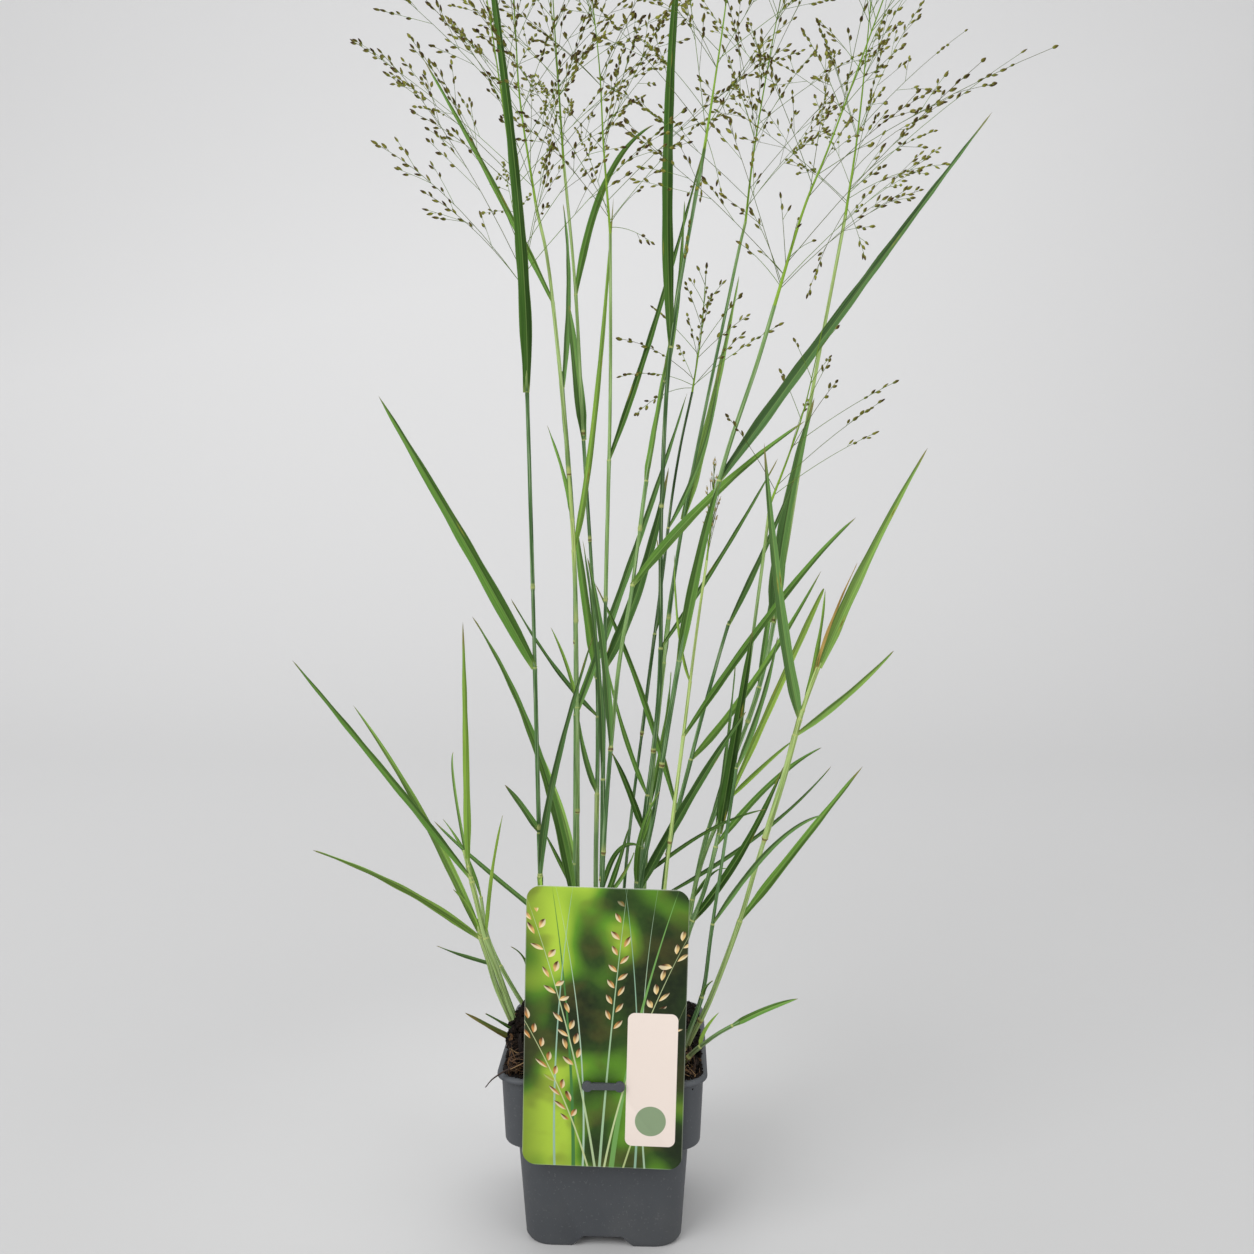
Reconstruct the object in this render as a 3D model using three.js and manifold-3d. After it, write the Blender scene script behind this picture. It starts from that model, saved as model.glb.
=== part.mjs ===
// Switchgrass growing in its square nursery pot, with a plain picture card hung on the pot's front.
// Millimetres, +Z up, the pot's front facing -Y, the origin at the middle of the pot's underside.
import * as THREE from 'three';
import { mergeVertices } from 'three/addons/utils/BufferGeometryUtils.js';
import Module from 'manifold-3d';

const wasm = await Module();
wasm.setup();

// Driving dimensions: a 9 cm square pot.
const potWidth = 90;
const potHeight = 80;
const potCorner = 10;
const wall = 1.4;
const gap = 0.3;

const lipDepth = 2.4;
const lipOverhang = 1.7;
const collarTop = potWidth / 2 - lipOverhang;
const collarBottom = potWidth / 2 - 3;
const collarBase = potHeight - 31.6;
const bodyTop = potWidth / 2 - 7.8;
const bodyBottom = potWidth / 2 - 10.8;
const footRadius = 2;

const channelHeight = 5;
const channelTop = 17;
const channelFoot = 29;
const padHalf = 9;
const drainRadius = 3;
const drainAt = 17;

const soilEdge = potHeight - 4;
const soilDome = 8;
const soilRoughness = 0.9;
const stemFoot = potHeight - 14;

const cardWidth = 67.5;
const cardHeight = 121;
const cardThickness = 0.6;
const cardCorner = 6;
const cardBase = 43;
const cardTurn = THREE.MathUtils.degToRad(1.4);
const cardAside = 1.2;
const cardBack = -potWidth / 2 - 0.4;
const slotHeight = potHeight - 1;

const spikeletLength = 3.4;
const spikeletWidth = 1.4;
const branchRadius = 0.4;
const clearance = 3;
const swingStep = 6;

const colors = {
  pot: 0x484d52,
  soil: 0x2a1f18,
  card: 0xe9dfc9,
  leafDark: 0x356b3a,
  leafMid: 0x4b8a3f,
  leafLight: 0x77b043,
  culm: 0x4c7d55,
  spray: 0x8a7a4a,
};

function seededRandom(seed) {
  let state = seed;
  return () => {
    state = (state + 0x6d2b79f5) >>> 0;
    let mixed = Math.imul(state ^ (state >>> 15), state | 1);
    mixed ^= mixed + Math.imul(mixed ^ (mixed >>> 7), mixed | 61);
    return ((mixed ^ (mixed >>> 14)) >>> 0) / 4294967296;
  };
}

const point = ([x, y, z]) => new THREE.Vector3(x, y, z);

// ---- solids -----------------------------------------------------------------------------------

function toSolid(geometry) {
  const bare = geometry.index ? geometry.clone() : geometry;
  bare.deleteAttribute('normal');
  bare.deleteAttribute('uv');
  const merged = mergeVertices(bare, 1e-4);
  const mesh = new wasm.Mesh({
    numProp: 3,
    vertProperties: new Float32Array(merged.attributes.position.array),
    triVerts: new Uint32Array(merged.index.array),
  });
  return new wasm.Manifold(mesh);
}

function toGeometry(solid) {
  const mesh = solid.getMesh();
  const geometry = new THREE.BufferGeometry();
  geometry.setAttribute('position', new THREE.BufferAttribute(mesh.vertProperties, 3));
  geometry.setIndex(new THREE.BufferAttribute(mesh.triVerts, 1));
  return geometry;
}

// Joins solids into one body: a hollow that the join seals is filled, and a loose scrap dropped.
function join(solids) {
  const whole = solids.reduce((sum, solid) => sum.add(solid));
  const shells = whole.decompose();
  const outer = shells.reduce((largest, shell) => (shell.volume() > largest.volume() ? shell : largest));
  return outer.simplify(0.01);
}

// Rings of points, one above the other, skinned into a closed body. The last may be a single point.
// Every second side turns its diagonal, so that a thin blade is split alike on both faces.
function skin(rings) {
  const sides = rings[0].length;
  const positions = rings.flat().flatMap((p) => [p.x, p.y, p.z]);
  const index = [];
  const starts = [];
  let count = 0;
  for (const ring of rings) {
    starts.push(count);
    count += ring.length;
  }
  for (let r = 0; r + 1 < rings.length; r++) {
    for (let s = 0; s < sides; s++) {
      const next = (s + 1) % sides;
      const a = starts[r] + s;
      const b = starts[r] + next;
      if (rings[r + 1].length === 1) {
        index.push(a, b, starts[r + 1]);
        continue;
      }
      const c = starts[r + 1] + s;
      const d = starts[r + 1] + next;
      if (s % 2) {
        index.push(a, b, c, b, d, c);
      } else {
        index.push(a, b, d, a, d, c);
      }
    }
  }
  const last = starts[rings.length - 1];
  for (let s = 1; s + 1 < sides; s++) {
    index.push(0, s + 1, s);
    if (rings.at(-1).length > 1) index.push(last, last + s, last + s + 1);
  }
  const geometry = new THREE.BufferGeometry();
  geometry.setAttribute('position', new THREE.Float32BufferAttribute(positions, 3));
  geometry.setIndex(index);
  return geometry;
}

// ---- pot --------------------------------------------------------------------------------------

function squareRing(half, height, corner, steps = 3) {
  const ring = [];
  for (let quarter = 0; quarter < 4; quarter++) {
    for (let step = 0; step <= steps; step++) {
      const angle = (quarter + step / steps) * Math.PI / 2;
      const reach = half - corner;
      const x = corner * Math.cos(angle) + reach * (quarter === 0 || quarter === 3 ? 1 : -1);
      const y = corner * Math.sin(angle) + reach * (quarter < 2 ? 1 : -1);
      ring.push(new THREE.Vector3(x, y, height));
    }
  }
  return ring;
}

function loftSquares(profile) {
  return toSolid(skin(profile.map(([half, z, corner]) => squareRing(half, z, corner))));
}

function box(width, depth, height, x, y, z) {
  const geometry = new THREE.BoxGeometry(width, depth, height);
  geometry.translate(x, y, z + height / 2);
  return toSolid(geometry);
}

function upright(radius, height, x, y, z, sides = 8) {
  const geometry = new THREE.CylinderGeometry(radius, radius, height, sides);
  geometry.rotateX(Math.PI / 2);
  geometry.translate(x, y, z + height / 2);
  return toSolid(geometry);
}

// The trough under one side of the floor, from the notch in the wall to the pad in the middle.
function trough(side, grow) {
  const shape = new THREE.Shape();
  shape.moveTo(-channelFoot / 2 - grow, -1);
  shape.lineTo(channelFoot / 2 + grow, -1);
  shape.lineTo(channelTop / 2 + grow, channelHeight + grow);
  shape.lineTo(-channelTop / 2 - grow, channelHeight + grow);
  shape.closePath();
  const length = potWidth / 2 - padHalf + grow;
  const geometry = new THREE.ExtrudeGeometry(shape, { depth: length, bevelEnabled: false });
  geometry.rotateX(Math.PI / 2);
  geometry.translate(0, -padHalf + grow, 0);
  geometry.rotateZ(side * Math.PI / 2);
  return toSolid(geometry);
}

const troughs = (grow) => join([0, 1, 2, 3].map((side) => trough(side, grow)));

function potInside(inset, top) {
  const profile = [
    [bodyBottom - wall - inset, wall + inset, potCorner - wall - inset],
    [bodyTop - wall - inset, collarBase + inset, potCorner - wall - inset],
    [collarBottom - wall - inset, collarBase + wall + inset, potCorner - wall - inset],
    [collarTop - wall - inset, top, potCorner - wall - inset],
  ];
  return loftSquares(profile).subtract(troughs(wall + inset));
}

// A flat dog-bone that keeps the card on, in front of the lip, on a short neck.
function lug() {
  const halfLength = 9;
  const bulb = 2.2;
  const waist = 1.3;
  const shape = new THREE.Shape();
  shape.moveTo(-halfLength + bulb * 2, -waist);
  shape.lineTo(halfLength - bulb * 2, -waist);
  shape.absarc(halfLength - bulb, 0, bulb, -Math.PI * 0.6, Math.PI * 0.6);
  shape.lineTo(-halfLength + bulb * 2, waist);
  shape.absarc(-halfLength + bulb, 0, bulb, Math.PI * 0.4, Math.PI * 1.6);
  const bar = new THREE.ExtrudeGeometry(shape, { depth: 1.4, bevelEnabled: false, curveSegments: 6 });
  bar.rotateX(Math.PI / 2);
  bar.translate(cardAside, cardBack - cardThickness - gap, slotHeight);
  const neckStart = -potWidth / 2 + 1;
  const neckEnd = cardBack - cardThickness - gap - 0.7;
  const neck = box(8, neckStart - neckEnd, 1.4, cardAside, (neckStart + neckEnd) / 2, slotHeight - 0.7);
  return toSolid(bar).add(neck);
}

function pot() {
  const lipBase = potHeight - lipDepth;
  const outside = loftSquares([
    [bodyBottom - footRadius / 2, 0, potCorner],
    [bodyBottom, footRadius, potCorner],
    [bodyTop, collarBase, potCorner],
    [collarBottom, collarBase + 0.2, potCorner],
    [collarTop, lipBase, potCorner],
    [potWidth / 2 - 0.5, lipBase + 0.3, potCorner],
    [potWidth / 2, lipBase + 1.2, potCorner],
    [potWidth / 2 - 0.4, potHeight - 0.3, potCorner],
    [potWidth / 2 - 1.1, potHeight, potCorner],
  ]);
  let shell = outside.subtract(potInside(0, potHeight + 1)).subtract(troughs(0));
  for (let side = 0; side < 4; side++) {
    const angle = side * Math.PI / 2;
    const x = drainAt * Math.cos(angle);
    const y = drainAt * Math.sin(angle);
    shell = shell.subtract(upright(drainRadius, 2 * channelHeight, x, y, 1));
  }
  return shell.add(lug());
}

// ---- soil -------------------------------------------------------------------------------------

function soilHeight(x, y) {
  const edge = collarTop - wall;
  const middle = 1 - Math.min(1, (x * x + y * y) / (edge * edge));
  const lumps = Math.sin(x * 0.41 + 1) * Math.cos(y * 0.37) + Math.sin(x * 0.23 - y * 0.29 + 2);
  return soilEdge + soilDome * middle + soilRoughness * lumps;
}

function soil(stems) {
  const half = collarTop - wall - gap - 0.2;
  const corner = potCorner - wall - gap;
  const lower = squareRing(bodyBottom - wall - gap, wall + gap, corner);
  const step = squareRing(bodyTop - wall - gap, collarBase + gap, corner);
  const shelf = squareRing(collarBottom - wall - gap, collarBase + wall + gap, corner);
  const edge = squareRing(half, soilEdge - 2, corner);
  const rings = [lower, step, shelf, edge];
  for (const scale of [0.985, 0.72, 0.4]) {
    rings.push(edge.map(({ x, y }) => point([x * scale, y * scale, soilHeight(x * scale, y * scale)])));
  }
  rings.push([point([0, 0, soilHeight(0, 0)])]);
  let mass = toSolid(skin(rings)).subtract(troughs(wall + gap));
  for (const stem of stems) mass = mass.subtract(stemHole(stem));
  return mass;
}

// The hole that a stem stands in follows the stem, a little wider, from under its foot to the open.
function stemHole(stem) {
  const radius = stem.radius + gap + 0.15;
  const heights = [stemFoot, 73, 79, 85, 91, 97];
  const rings = heights.map((height, n) => {
    const middle = stem.curve.getPoint(atHeight(stem.curve, height));
    if (n === 0) middle.z -= gap;
    return [0, 1, 2, 3, 4, 5].map((s) => new THREE.Vector3(
      middle.x + 1.12 * radius * Math.cos(s * Math.PI / 3),
      middle.y + 1.12 * radius * Math.sin(s * Math.PI / 3),
      middle.z,
    ));
  });
  return toSolid(skin(rings));
}

// ---- card -------------------------------------------------------------------------------------

function card() {
  const half = cardWidth / 2;
  const shape = new THREE.Shape();
  shape.moveTo(-half + cardCorner, 0);
  shape.lineTo(half - cardCorner, 0);
  shape.absarc(half - cardCorner, cardCorner, cardCorner, -Math.PI / 2, 0);
  shape.absarc(half - cardCorner, cardHeight - cardCorner, cardCorner, 0, Math.PI / 2);
  shape.absarc(-half + cardCorner, cardHeight - cardCorner, cardCorner, Math.PI / 2, Math.PI);
  shape.absarc(-half + cardCorner, cardCorner, cardCorner, Math.PI, Math.PI * 1.5);
  const slot = new THREE.Path();
  const slotMiddle = slotHeight - cardBase;
  slot.moveTo(-4.6, slotMiddle - 1.2);
  slot.lineTo(-4.6, slotMiddle + 1.2);
  slot.lineTo(4.6, slotMiddle + 1.2);
  slot.lineTo(4.6, slotMiddle - 1.2);
  slot.closePath();
  shape.holes.push(slot);
  const geometry = new THREE.ExtrudeGeometry(shape, {
    depth: cardThickness,
    bevelEnabled: false,
    curveSegments: 5,
  });
  geometry.translate(0, -slotMiddle, 0);
  geometry.rotateX(Math.PI / 2);
  return geometry;
}

// ---- the clump --------------------------------------------------------------------------------
// A stem is the middle line of its culm, from its foot in the soil to the collar of its top leaf or
// to the first branches of its spray. A leaf springs from its culm at a height, passes through
// [x, z] halfway and ends at its tip. Its depth halfway follows from both ends. A leaf that would meet
// another stem or its leaves swings to and fro in depth until it passes clear.

const leaf = (at, bend, tip, width) => ({ at, bend, tip, width });

const stems = [
  {
    name: 'outer_left_low',
    radius: 1.15,
    path: [
      [-36.5, -8, stemFoot], [-38, -8, 80], [-48, -10, 106], [-51.5, -12, 119.5], [-55, -13, 132],
      [-56, -13, 139],
    ],
    leaves: [
      leaf(80, [-49.5, 90], [-60, -26, 101.5], 2.8),
      leaf(131, [-90, 155.5], [-125.5, -24, 172.5], 5.6),
      leaf(134, [-80, 191], [-105, -30, 237], 4.6),
      leaf(132, [-59.5, 145], [-65.5, -20, 154.5], 1.8),
    ],
  },
  {
    name: 'outer_left_tall',
    radius: 1.15,
    path: [
      [-33.5, -18, stemFoot], [-35, -18, 82], [-44.5, -20, 112], [-51.5, -20, 133],
      [-56, -20, 152.5], [-60.5, -20, 172],
    ],
    leaves: [
      leaf(90, [-45, 97.5], [-50, -34, 104.5], 1.8),
      leaf(133, [-48, 163.5], [-42.5, -26, 189.5], 1.8),
      leaf(160, [-95, 211], [-128, -38, 257], 3.8),
      leaf(165, [-58.5, 217], [-58, -30, 272.5], 3.2),
      leaf(158, [-64.5, 197.5], [-65.5, -14, 214], 1.4),
    ],
  },
  {
    name: 'outer_left_inner',
    radius: 1,
    path: [
      [-31, 4, stemFoot], [-32.5, 4, 82], [-43.5, 6, 101], [-50, 8, 112], [-55.5, 12, 123.5],
      [-58.5, 14, 140.5],
    ],
    leaves: [
      leaf(110, [-63, 115.5], [-76.5, -2, 122.5], 2),
      leaf(92, [-35.5, 112], [-42.5, -6, 124], 1.6),
      leaf(144, [-66.5, 160], [-77.5, 24, 174.5], 1.8),
    ],
  },
  {
    name: 'left_tall',
    radius: 1.1,
    path: [[-27, -4, stemFoot], [-29, -4, 150], [-31, -8, 285], [-33, -14, 408]],
    leaves: [
      leaf(157, [-22, 203.5], [-4, -20, 266], 3.6),
      leaf(156, [-28, 152], [-24, -20, 147], 2),
      leaf(176, [-37, 190], [-43, -16, 200], 3),
      leaf(250, [-59, 304.5], [-93, -24, 366], 6),
      leaf(368, [-35.5, 460], [-51, -40, 590], 5.8),
    ],
    spray: { path: [[-36, -15, 445], [-43, -18, 500], [-52, -22, 560]], reach: 100, seed: 11 },
  },
  {
    name: 'back_left',
    radius: 1.05,
    path: [[-14, 10, stemFoot], [-13.5, 12, 150], [-15, 18, 297], [-25, 26, 414], [-32.5, 30, 455]],
    leaves: [
      leaf(130, [-30, 211], [-57, -12, 273], 5),
      leaf(141, [-22, 160], [-28, 4, 174], 2),
      leaf(120, [-54, 153.5], [-78.5, 8, 177.5], 2.4),
      leaf(227, [14, 305], [36, 44, 372], 3.6),
      leaf(229, [-18, 248], [-25, 10, 266], 1.8),
      leaf(300, [-6.5, 360], [1.5, 52, 462], 3),
      leaf(314, [-20, 333], [-29, 40, 357], 2.2),
      leaf(411, [-54, 468], [-87, 52, 526], 3),
    ],
    spray: { path: [[-39.5, 34, 500], [-42, 38, 536], [-46, 42, 590]], reach: 105, seed: 23 },
  },
  {
    name: 'back_middle',
    radius: 1,
    path: [
      [-6, 24, stemFoot], [-6, 26, 150], [-5.5, 32, 240], [-12, 40, 350], [-16, 46, 420],
      [-21.5, 50, 478],
    ],
    leaves: [
      leaf(186, [-11, 205], [-13, 14, 222], 2.8),
      leaf(222, [-25, 246], [-44, 20, 278], 2.4),
      leaf(240, [-12.5, 285], [-16, 48, 309], 4.4),
      leaf(350, [-16, 384.5], [-20, 60, 414.5], 5),
      leaf(417, [-2, 470], [20, 66, 498], 3.6),
    ],
    spray: { path: [[-24.5, 55, 520], [-26.5, 58, 550], [-29, 62, 600]], reach: 105, seed: 37 },
  },
  {
    name: 'middle',
    radius: 1.05,
    path: [[-3, 0, stemFoot], [-2, 1, 150], [0, 2, 278], [2, 5, 366], [2, 8, 437]],
    leaves: [
      leaf(199, [-3, 253], [-9, -14, 306], 2.8),
      leaf(249, [16.5, 290.5], [27.5, -22, 337], 5.4),
      leaf(340, [22, 402], [43, 30, 480], 3),
    ],
    spray: { path: [[-1, 10, 475], [-3, 12, 510], [-9, 14, 562]], reach: 100, seed: 41 },
  },
  {
    name: 'middle_leaning',
    radius: 1.05,
    path: [[3, -12, stemFoot], [-1, -12, 150], [5, -9, 240], [12, -4, 286], [18, 2, 332], [25.5, 8, 376]],
    leaves: [
      leaf(215, [0, 262], [-5, -44, 300], 3.4),
      leaf(286, [46, 324.5], [83, -30, 355], 4.4),
      leaf(331, [21.5, 354], [26, 0, 384], 3.2),
      leaf(374, [31, 408], [34, 14, 452], 2.8),
    ],
  },
  {
    name: 'middle_right',
    radius: 1.15,
    path: [[11, 2, stemFoot], [14, 2, 150], [23.5, 0, 238], [24.5, 0, 320], [28.5, 0, 390], [42, -4, 469]],
    leaves: [
      leaf(146, [39, 197], [60, -34, 236], 4.6),
      leaf(152, [44.5, 179], [69, -38, 194], 1.8),
      leaf(176, [10, 198.5], [4, -28, 217], 3),
      leaf(192, [8, 218], [0, 22, 246], 2.4),
      leaf(168, [20, 182], [24, -10, 196], 2.4),
      leaf(258, [52, 300], [76, 18, 341], 2.2),
      leaf(388, [27, 478], [33, -14, 560], 4.8),
    ],
    spray: { path: [[46, -4, 495], [51, 0, 531], [57, 6, 585]], reach: 100, seed: 53 },
  },
  {
    name: 'thin_arching',
    radius: 0.85,
    path: [
      [4, 18, stemFoot], [8, 19, 150], [17, 20, 227], [25, 22, 290], [28.8, 24, 322], [33, 26, 348],
      [38, 28, 371],
    ],
    leaves: [
      leaf(262, [24, 281.5], [22, 44, 304.5], 2.4),
      leaf(310, [43.8, 347], [50.5, 60, 383], 2.4),
    ],
    spray: { path: [[42, 29.5, 398], [44, 31, 425]], reach: 44, seed: 61 },
  },
  {
    name: 'back_right',
    radius: 1.05,
    path: [[16, 30, stemFoot], [17, 32, 150], [26, 42, 250], [35, 48, 316], [57, 56, 425], [63, 60, 452]],
    leaves: [
      leaf(180, [26, 216], [29, 60, 239.5], 3),
      leaf(313, [48, 365], [61, 62, 430], 5.2),
      leaf(246, [28, 270], [31, 66, 294], 2.6),
    ],
    spray: { path: [[67, 64, 486], [75, 70, 534], [85, 76, 585]], reach: 100, seed: 71 },
  },
  {
    name: 'front_right_thick',
    radius: 1.25,
    path: [
      [13, -14, stemFoot], [15.5, -14, 150], [22, -15, 190], [35, -18, 270], [49, -25, 333],
      [63, -28, 377], [70, -30, 401],
    ],
    leaves: [
      leaf(255, [40.5, 299], [48, -36, 330], 4.6),
      leaf(331, [104.5, 407.5], [162, -6, 484], 5.4),
    ],
    spray: { path: [[80.5, -34, 437], [90, -38, 461], [107, -44, 508], [120, -50, 545]], reach: 110,
      seed: 83,
    },
  },
  {
    name: 'thin_yellow',
    radius: 0.85,
    path: [[22, -20, stemFoot], [26, -20, 150], [34, -16, 220], [40, -10, 268], [44, -8, 297]],
    leaves: [
      leaf(222, [75, 282], [103.5, -36, 316], 3.2),
      leaf(245, [32, 268], [30, -22, 300], 1.4),
    ],
    spray: { path: [[46, -8, 316], [47, -8, 338]], reach: 26, spread: 0.25, seed: 97 },
  },
  {
    name: 'right',
    radius: 1.05,
    path: [[23, 10, stemFoot], [26, 10, 150], [38, 12, 206], [48.5, 14, 246], [55, 16, 268.5]],
    leaves: [
      leaf(143, [69, 173], [100, 2, 205.5], 2),
      leaf(182, [14, 241], [-5, -6, 286], 2.8),
      leaf(206, [67, 241.5], [97.5, 30, 290.5], 3.4),
      leaf(267, [70, 300.5], [83.5, 12, 333], 3),
    ],
  },
  {
    name: 'right_tall',
    radius: 1.15,
    path: [
      [30, 22, stemFoot], [43.5, 26, 158], [69.5, 32, 235], [80.5, 38, 290], [92.5, 43, 366],
      [108, 48, 452],
    ],
    leaves: [
      leaf(170, [56, 197], [63.5, 58, 224.5], 3),
      leaf(266, [81.5, 315], [92.5, 24, 368], 7.2),
      leaf(236, [76, 270], [85, 80, 313.5], 2.8),
    ],
    spray: { path: [[113.5, 54, 488], [118, 60, 530], [122, 64, 580]], reach: 100, seed: 101 },
  },
  {
    name: 'right_dark',
    radius: 1,
    path: [
      [28, -6, stemFoot], [35, -8, 124], [46, -10, 160], [58, -12, 222], [66, -14, 284], [70, -18, 321],
    ],
    leaves: [
      leaf(138, [60, 171], [77, -32, 210], 3.8),
      leaf(172, [71.5, 201], [92.5, -24, 219], 2.8),
      leaf(178, [56.5, 224], [62.5, -32, 270], 5.2),
    ],
    spray: { path: [[78, -20, 343], [84, -22, 363], [90, -24, 392]], reach: 56, seed: 113 },
  },
  {
    name: 'far_right',
    radius: 1.25,
    path: [
      [34, -17, stemFoot], [36, -17, 82], [46, -19, 105], [58.5, -20, 140.5], [65.5, -22, 166.5],
      [76, -26, 204.5], [83, -28, 233], [90.5, -30, 256],
    ],
    leaves: [
      leaf(142, [86, 181.5], [107.5, -40, 214.5], 3.6),
      leaf(225, [102, 243], [119.5, -38, 262], 3.2),
      leaf(232, [74, 278], [66, -36, 346], 4.8),
      leaf(236, [90, 260.5], [94, -16, 285], 2.6),
      leaf(254, [110, 301], [132, -34, 344], 6),
    ],
  },
  {
    name: 'right_light',
    radius: 0.95,
    path: [[30, 4, stemFoot], [33, 3, 110], [42, 2, 158], [55, 0, 192]],
    leaves: [
      leaf(144, [47, 157], [54, -8, 161], 2.2),
      leaf(178, [54, 215], [58, 14, 250], 2.4),
      leaf(189, [84, 260.5], [94, -10, 285], 3.2),
      leaf(190, [70.5, 208], [81.5, -14, 220], 2),
    ],
  },
  {
    name: 'right_olive',
    radius: 0.95,
    path: [[31, -27, stemFoot], [35, -27, 88], [43, -26, 112], [47, -25, 142], [57, -24, 212]],
    leaves: [
      leaf(110, [44, 116], [47, -36, 121], 1.8),
      leaf(142, [71.5, 178.5], [91.5, -46, 195.5], 2.4),
      leaf(210, [66, 238], [72, -42, 268], 2.6),
    ],
  },
  {
    name: 'low_right',
    radius: 1,
    path: [[33, -33, stemFoot], [34, -33, 82], [46, -37, 96], [58, -40, 105]],
    leaves: [
      leaf(103, [69, 111], [82, -44, 117], 2.8),
      leaf(92, [44, 98], [50, -28, 104], 1.8),
    ],
  },
  {
    name: 'behind',
    radius: 1.05,
    path: [[-16, 32, stemFoot], [-16.5, 36, 150], [-17, 50, 240], [-18.5, 60, 310], [-24.5, 68, 384]],
    leaves: [
      leaf(150, [-24.5, 174.5], [-39, 70, 203.5], 3),
      leaf(220, [-4.8, 254], [8.5, 92, 290], 3.6),
      leaf(300, [-22, 345], [-27.5, 84, 388], 2.4),
      leaf(376, [-22, 426], [-26, 102, 470], 3),
    ],
  },
];

// Points that grown pieces already fill, by cell of a coarse grid.
const filled = new Map();
const cellOf = (p, dx = 0, dy = 0, dz = 0) => [
  Math.floor(p.x / clearance) + dx,
  Math.floor(p.y / clearance) + dy,
  Math.floor(p.z / clearance) + dz,
].join();

function fill(points, owner) {
  for (const p of points) {
    const cell = cellOf(p);
    if (!filled.has(cell)) filled.set(cell, []);
    filled.get(cell).push({ p, owner });
  }
}

function isClear(points, owner) {
  for (const p of points) {
    for (let n = 0; n < 27; n++) {
      const near = filled.get(cellOf(p, n % 3 - 1, Math.floor(n / 3) % 3 - 1, Math.floor(n / 9) - 1));
      if (near && near.some((other) => other.owner !== owner && other.p.distanceTo(p) < clearance)) {
        return false;
      }
    }
  }
  return true;
}

function spaced(curve, step) {
  const count = Math.max(2, Math.ceil(curve.getLength() / step));
  return curve.getSpacedPoints(count);
}

const culmCurve = (path) => new THREE.CatmullRomCurve3(path.map(point), false, 'catmullrom', 0.5);

function atHeight(curve, height) {
  let low = 0;
  let high = 1;
  for (let turn = 0; turn < 30; turn++) {
    const middle = (low + high) / 2;
    if (curve.getPoint(middle).z < height) low = middle;
    else high = middle;
  }
  return low;
}

// A round stem of five sides, thicker at each collar, thinner towards its top.
function culm(curve, radius, topRadius, collars) {
  const stations = [0, 0.14, 0.32, 0.55, 0.78, 1].map((u) => ({ u, swell: 1 }));
  for (const height of collars) {
    const u = atHeight(curve, height);
    stations.push({ u, swell: 1.22 }, { u: u + 2 / curve.getLength(), swell: 1 });
  }
  const ordered = stations.filter((s) => s.u >= 0 && s.u <= 1).sort((a, b) => a.u - b.u);
  const apart = 1.9 / curve.getLength();
  const farFromLast = (s, n) => n === 0 || s.u - ordered[n - 1].u > apart;
  const kept = ordered.filter((s, n) => s.u === 1 || (s.u < 1 - apart && farFromLast(s, n)));
  return toSolid(skin(kept.map(({ u, swell }) => {
    const middle = curve.getPoint(u);
    const tangent = u < 0.01 ? new THREE.Vector3(0, 0, 1) : curve.getTangent(u);
    const side = new THREE.Vector3().crossVectors(tangent, new THREE.Vector3(0, 1, 0)).normalize();
    const back = new THREE.Vector3().crossVectors(tangent, side);
    const r = swell * THREE.MathUtils.lerp(radius, topRadius, u);
    return [0, 1, 2, 3, 4].map((n) => middle.clone()
      .addScaledVector(side, r * Math.cos(n * Math.PI * 0.4))
      .addScaledVector(back, r * Math.sin(n * Math.PI * 0.4)));
  })));
}

const bladeTaper = (u) => Math.min(1, 0.45 + 3.5 * u) * Math.sqrt(Math.max(0, 1 - u ** 2.6));

function bladeFrame(curve, u, roll) {
  const tangent = curve.getTangent(u);
  const across = new THREE.Vector3().crossVectors(tangent, new THREE.Vector3(0, -1, 0)).normalize();
  const face = new THREE.Vector3().crossVectors(across, tangent);
  const turned = across.clone().multiplyScalar(Math.cos(roll)).addScaledVector(face, Math.sin(roll));
  const upper = new THREE.Vector3().crossVectors(turned, tangent);
  return { middle: curve.getPoint(u), across: turned, face: upper };
}

function bladeCurve(start, blade, swing) {
  const tip = new THREE.Vector3(blade.tip[0], blade.tip[1] + swing, blade.tip[2]);
  const bendDepth = THREE.MathUtils.lerp(start.y, tip.y, 0.42);
  const bend = new THREE.Vector3(blade.bend[0], bendDepth, blade.bend[1]);
  const control = bend.multiplyScalar(2).sub(start.clone().add(tip).multiplyScalar(0.5));
  return new THREE.QuadraticBezierCurve3(start, control, tip);
}

function bladePoints(curve, blade) {
  const points = [];
  const count = Math.ceil(curve.getLength() / 3);
  for (let n = 0; n <= count; n++) {
    const u = n / count;
    const { middle, across } = bladeFrame(curve, u, blade.roll + blade.twist * u);
    const half = blade.width / 2 * bladeTaper(u);
    points.push(middle);
    if (half > 1) {
      points.push(middle.clone().addScaledVector(across, half));
      points.push(middle.clone().addScaledVector(across, -half));
    }
  }
  return points;
}

// A channelled blade: keel, left edge, trough and right edge, tapering to a point.
function bladeSolid(curve, blade) {
  const spans = Math.min(7, Math.max(3, Math.round(curve.getLength() / 24)));
  const rings = [];
  for (let n = 0; n < spans; n++) {
    const u = n / spans;
    const { middle, across, face } = bladeFrame(curve, u, blade.roll + blade.twist * u);
    const half = blade.width / 2 * bladeTaper(u);
    const place = (side, lift) => middle.clone().addScaledVector(across, side).addScaledVector(face, lift);
    rings.push([place(0, -0.45), place(-half, 0.1 * half), place(0, 0.35), place(half, 0.1 * half)]);
  }
  rings.push([curve.getPoint(1)]);
  return toSolid(skin(rings));
}

// ---- sprays -----------------------------------------------------------------------------------

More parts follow.
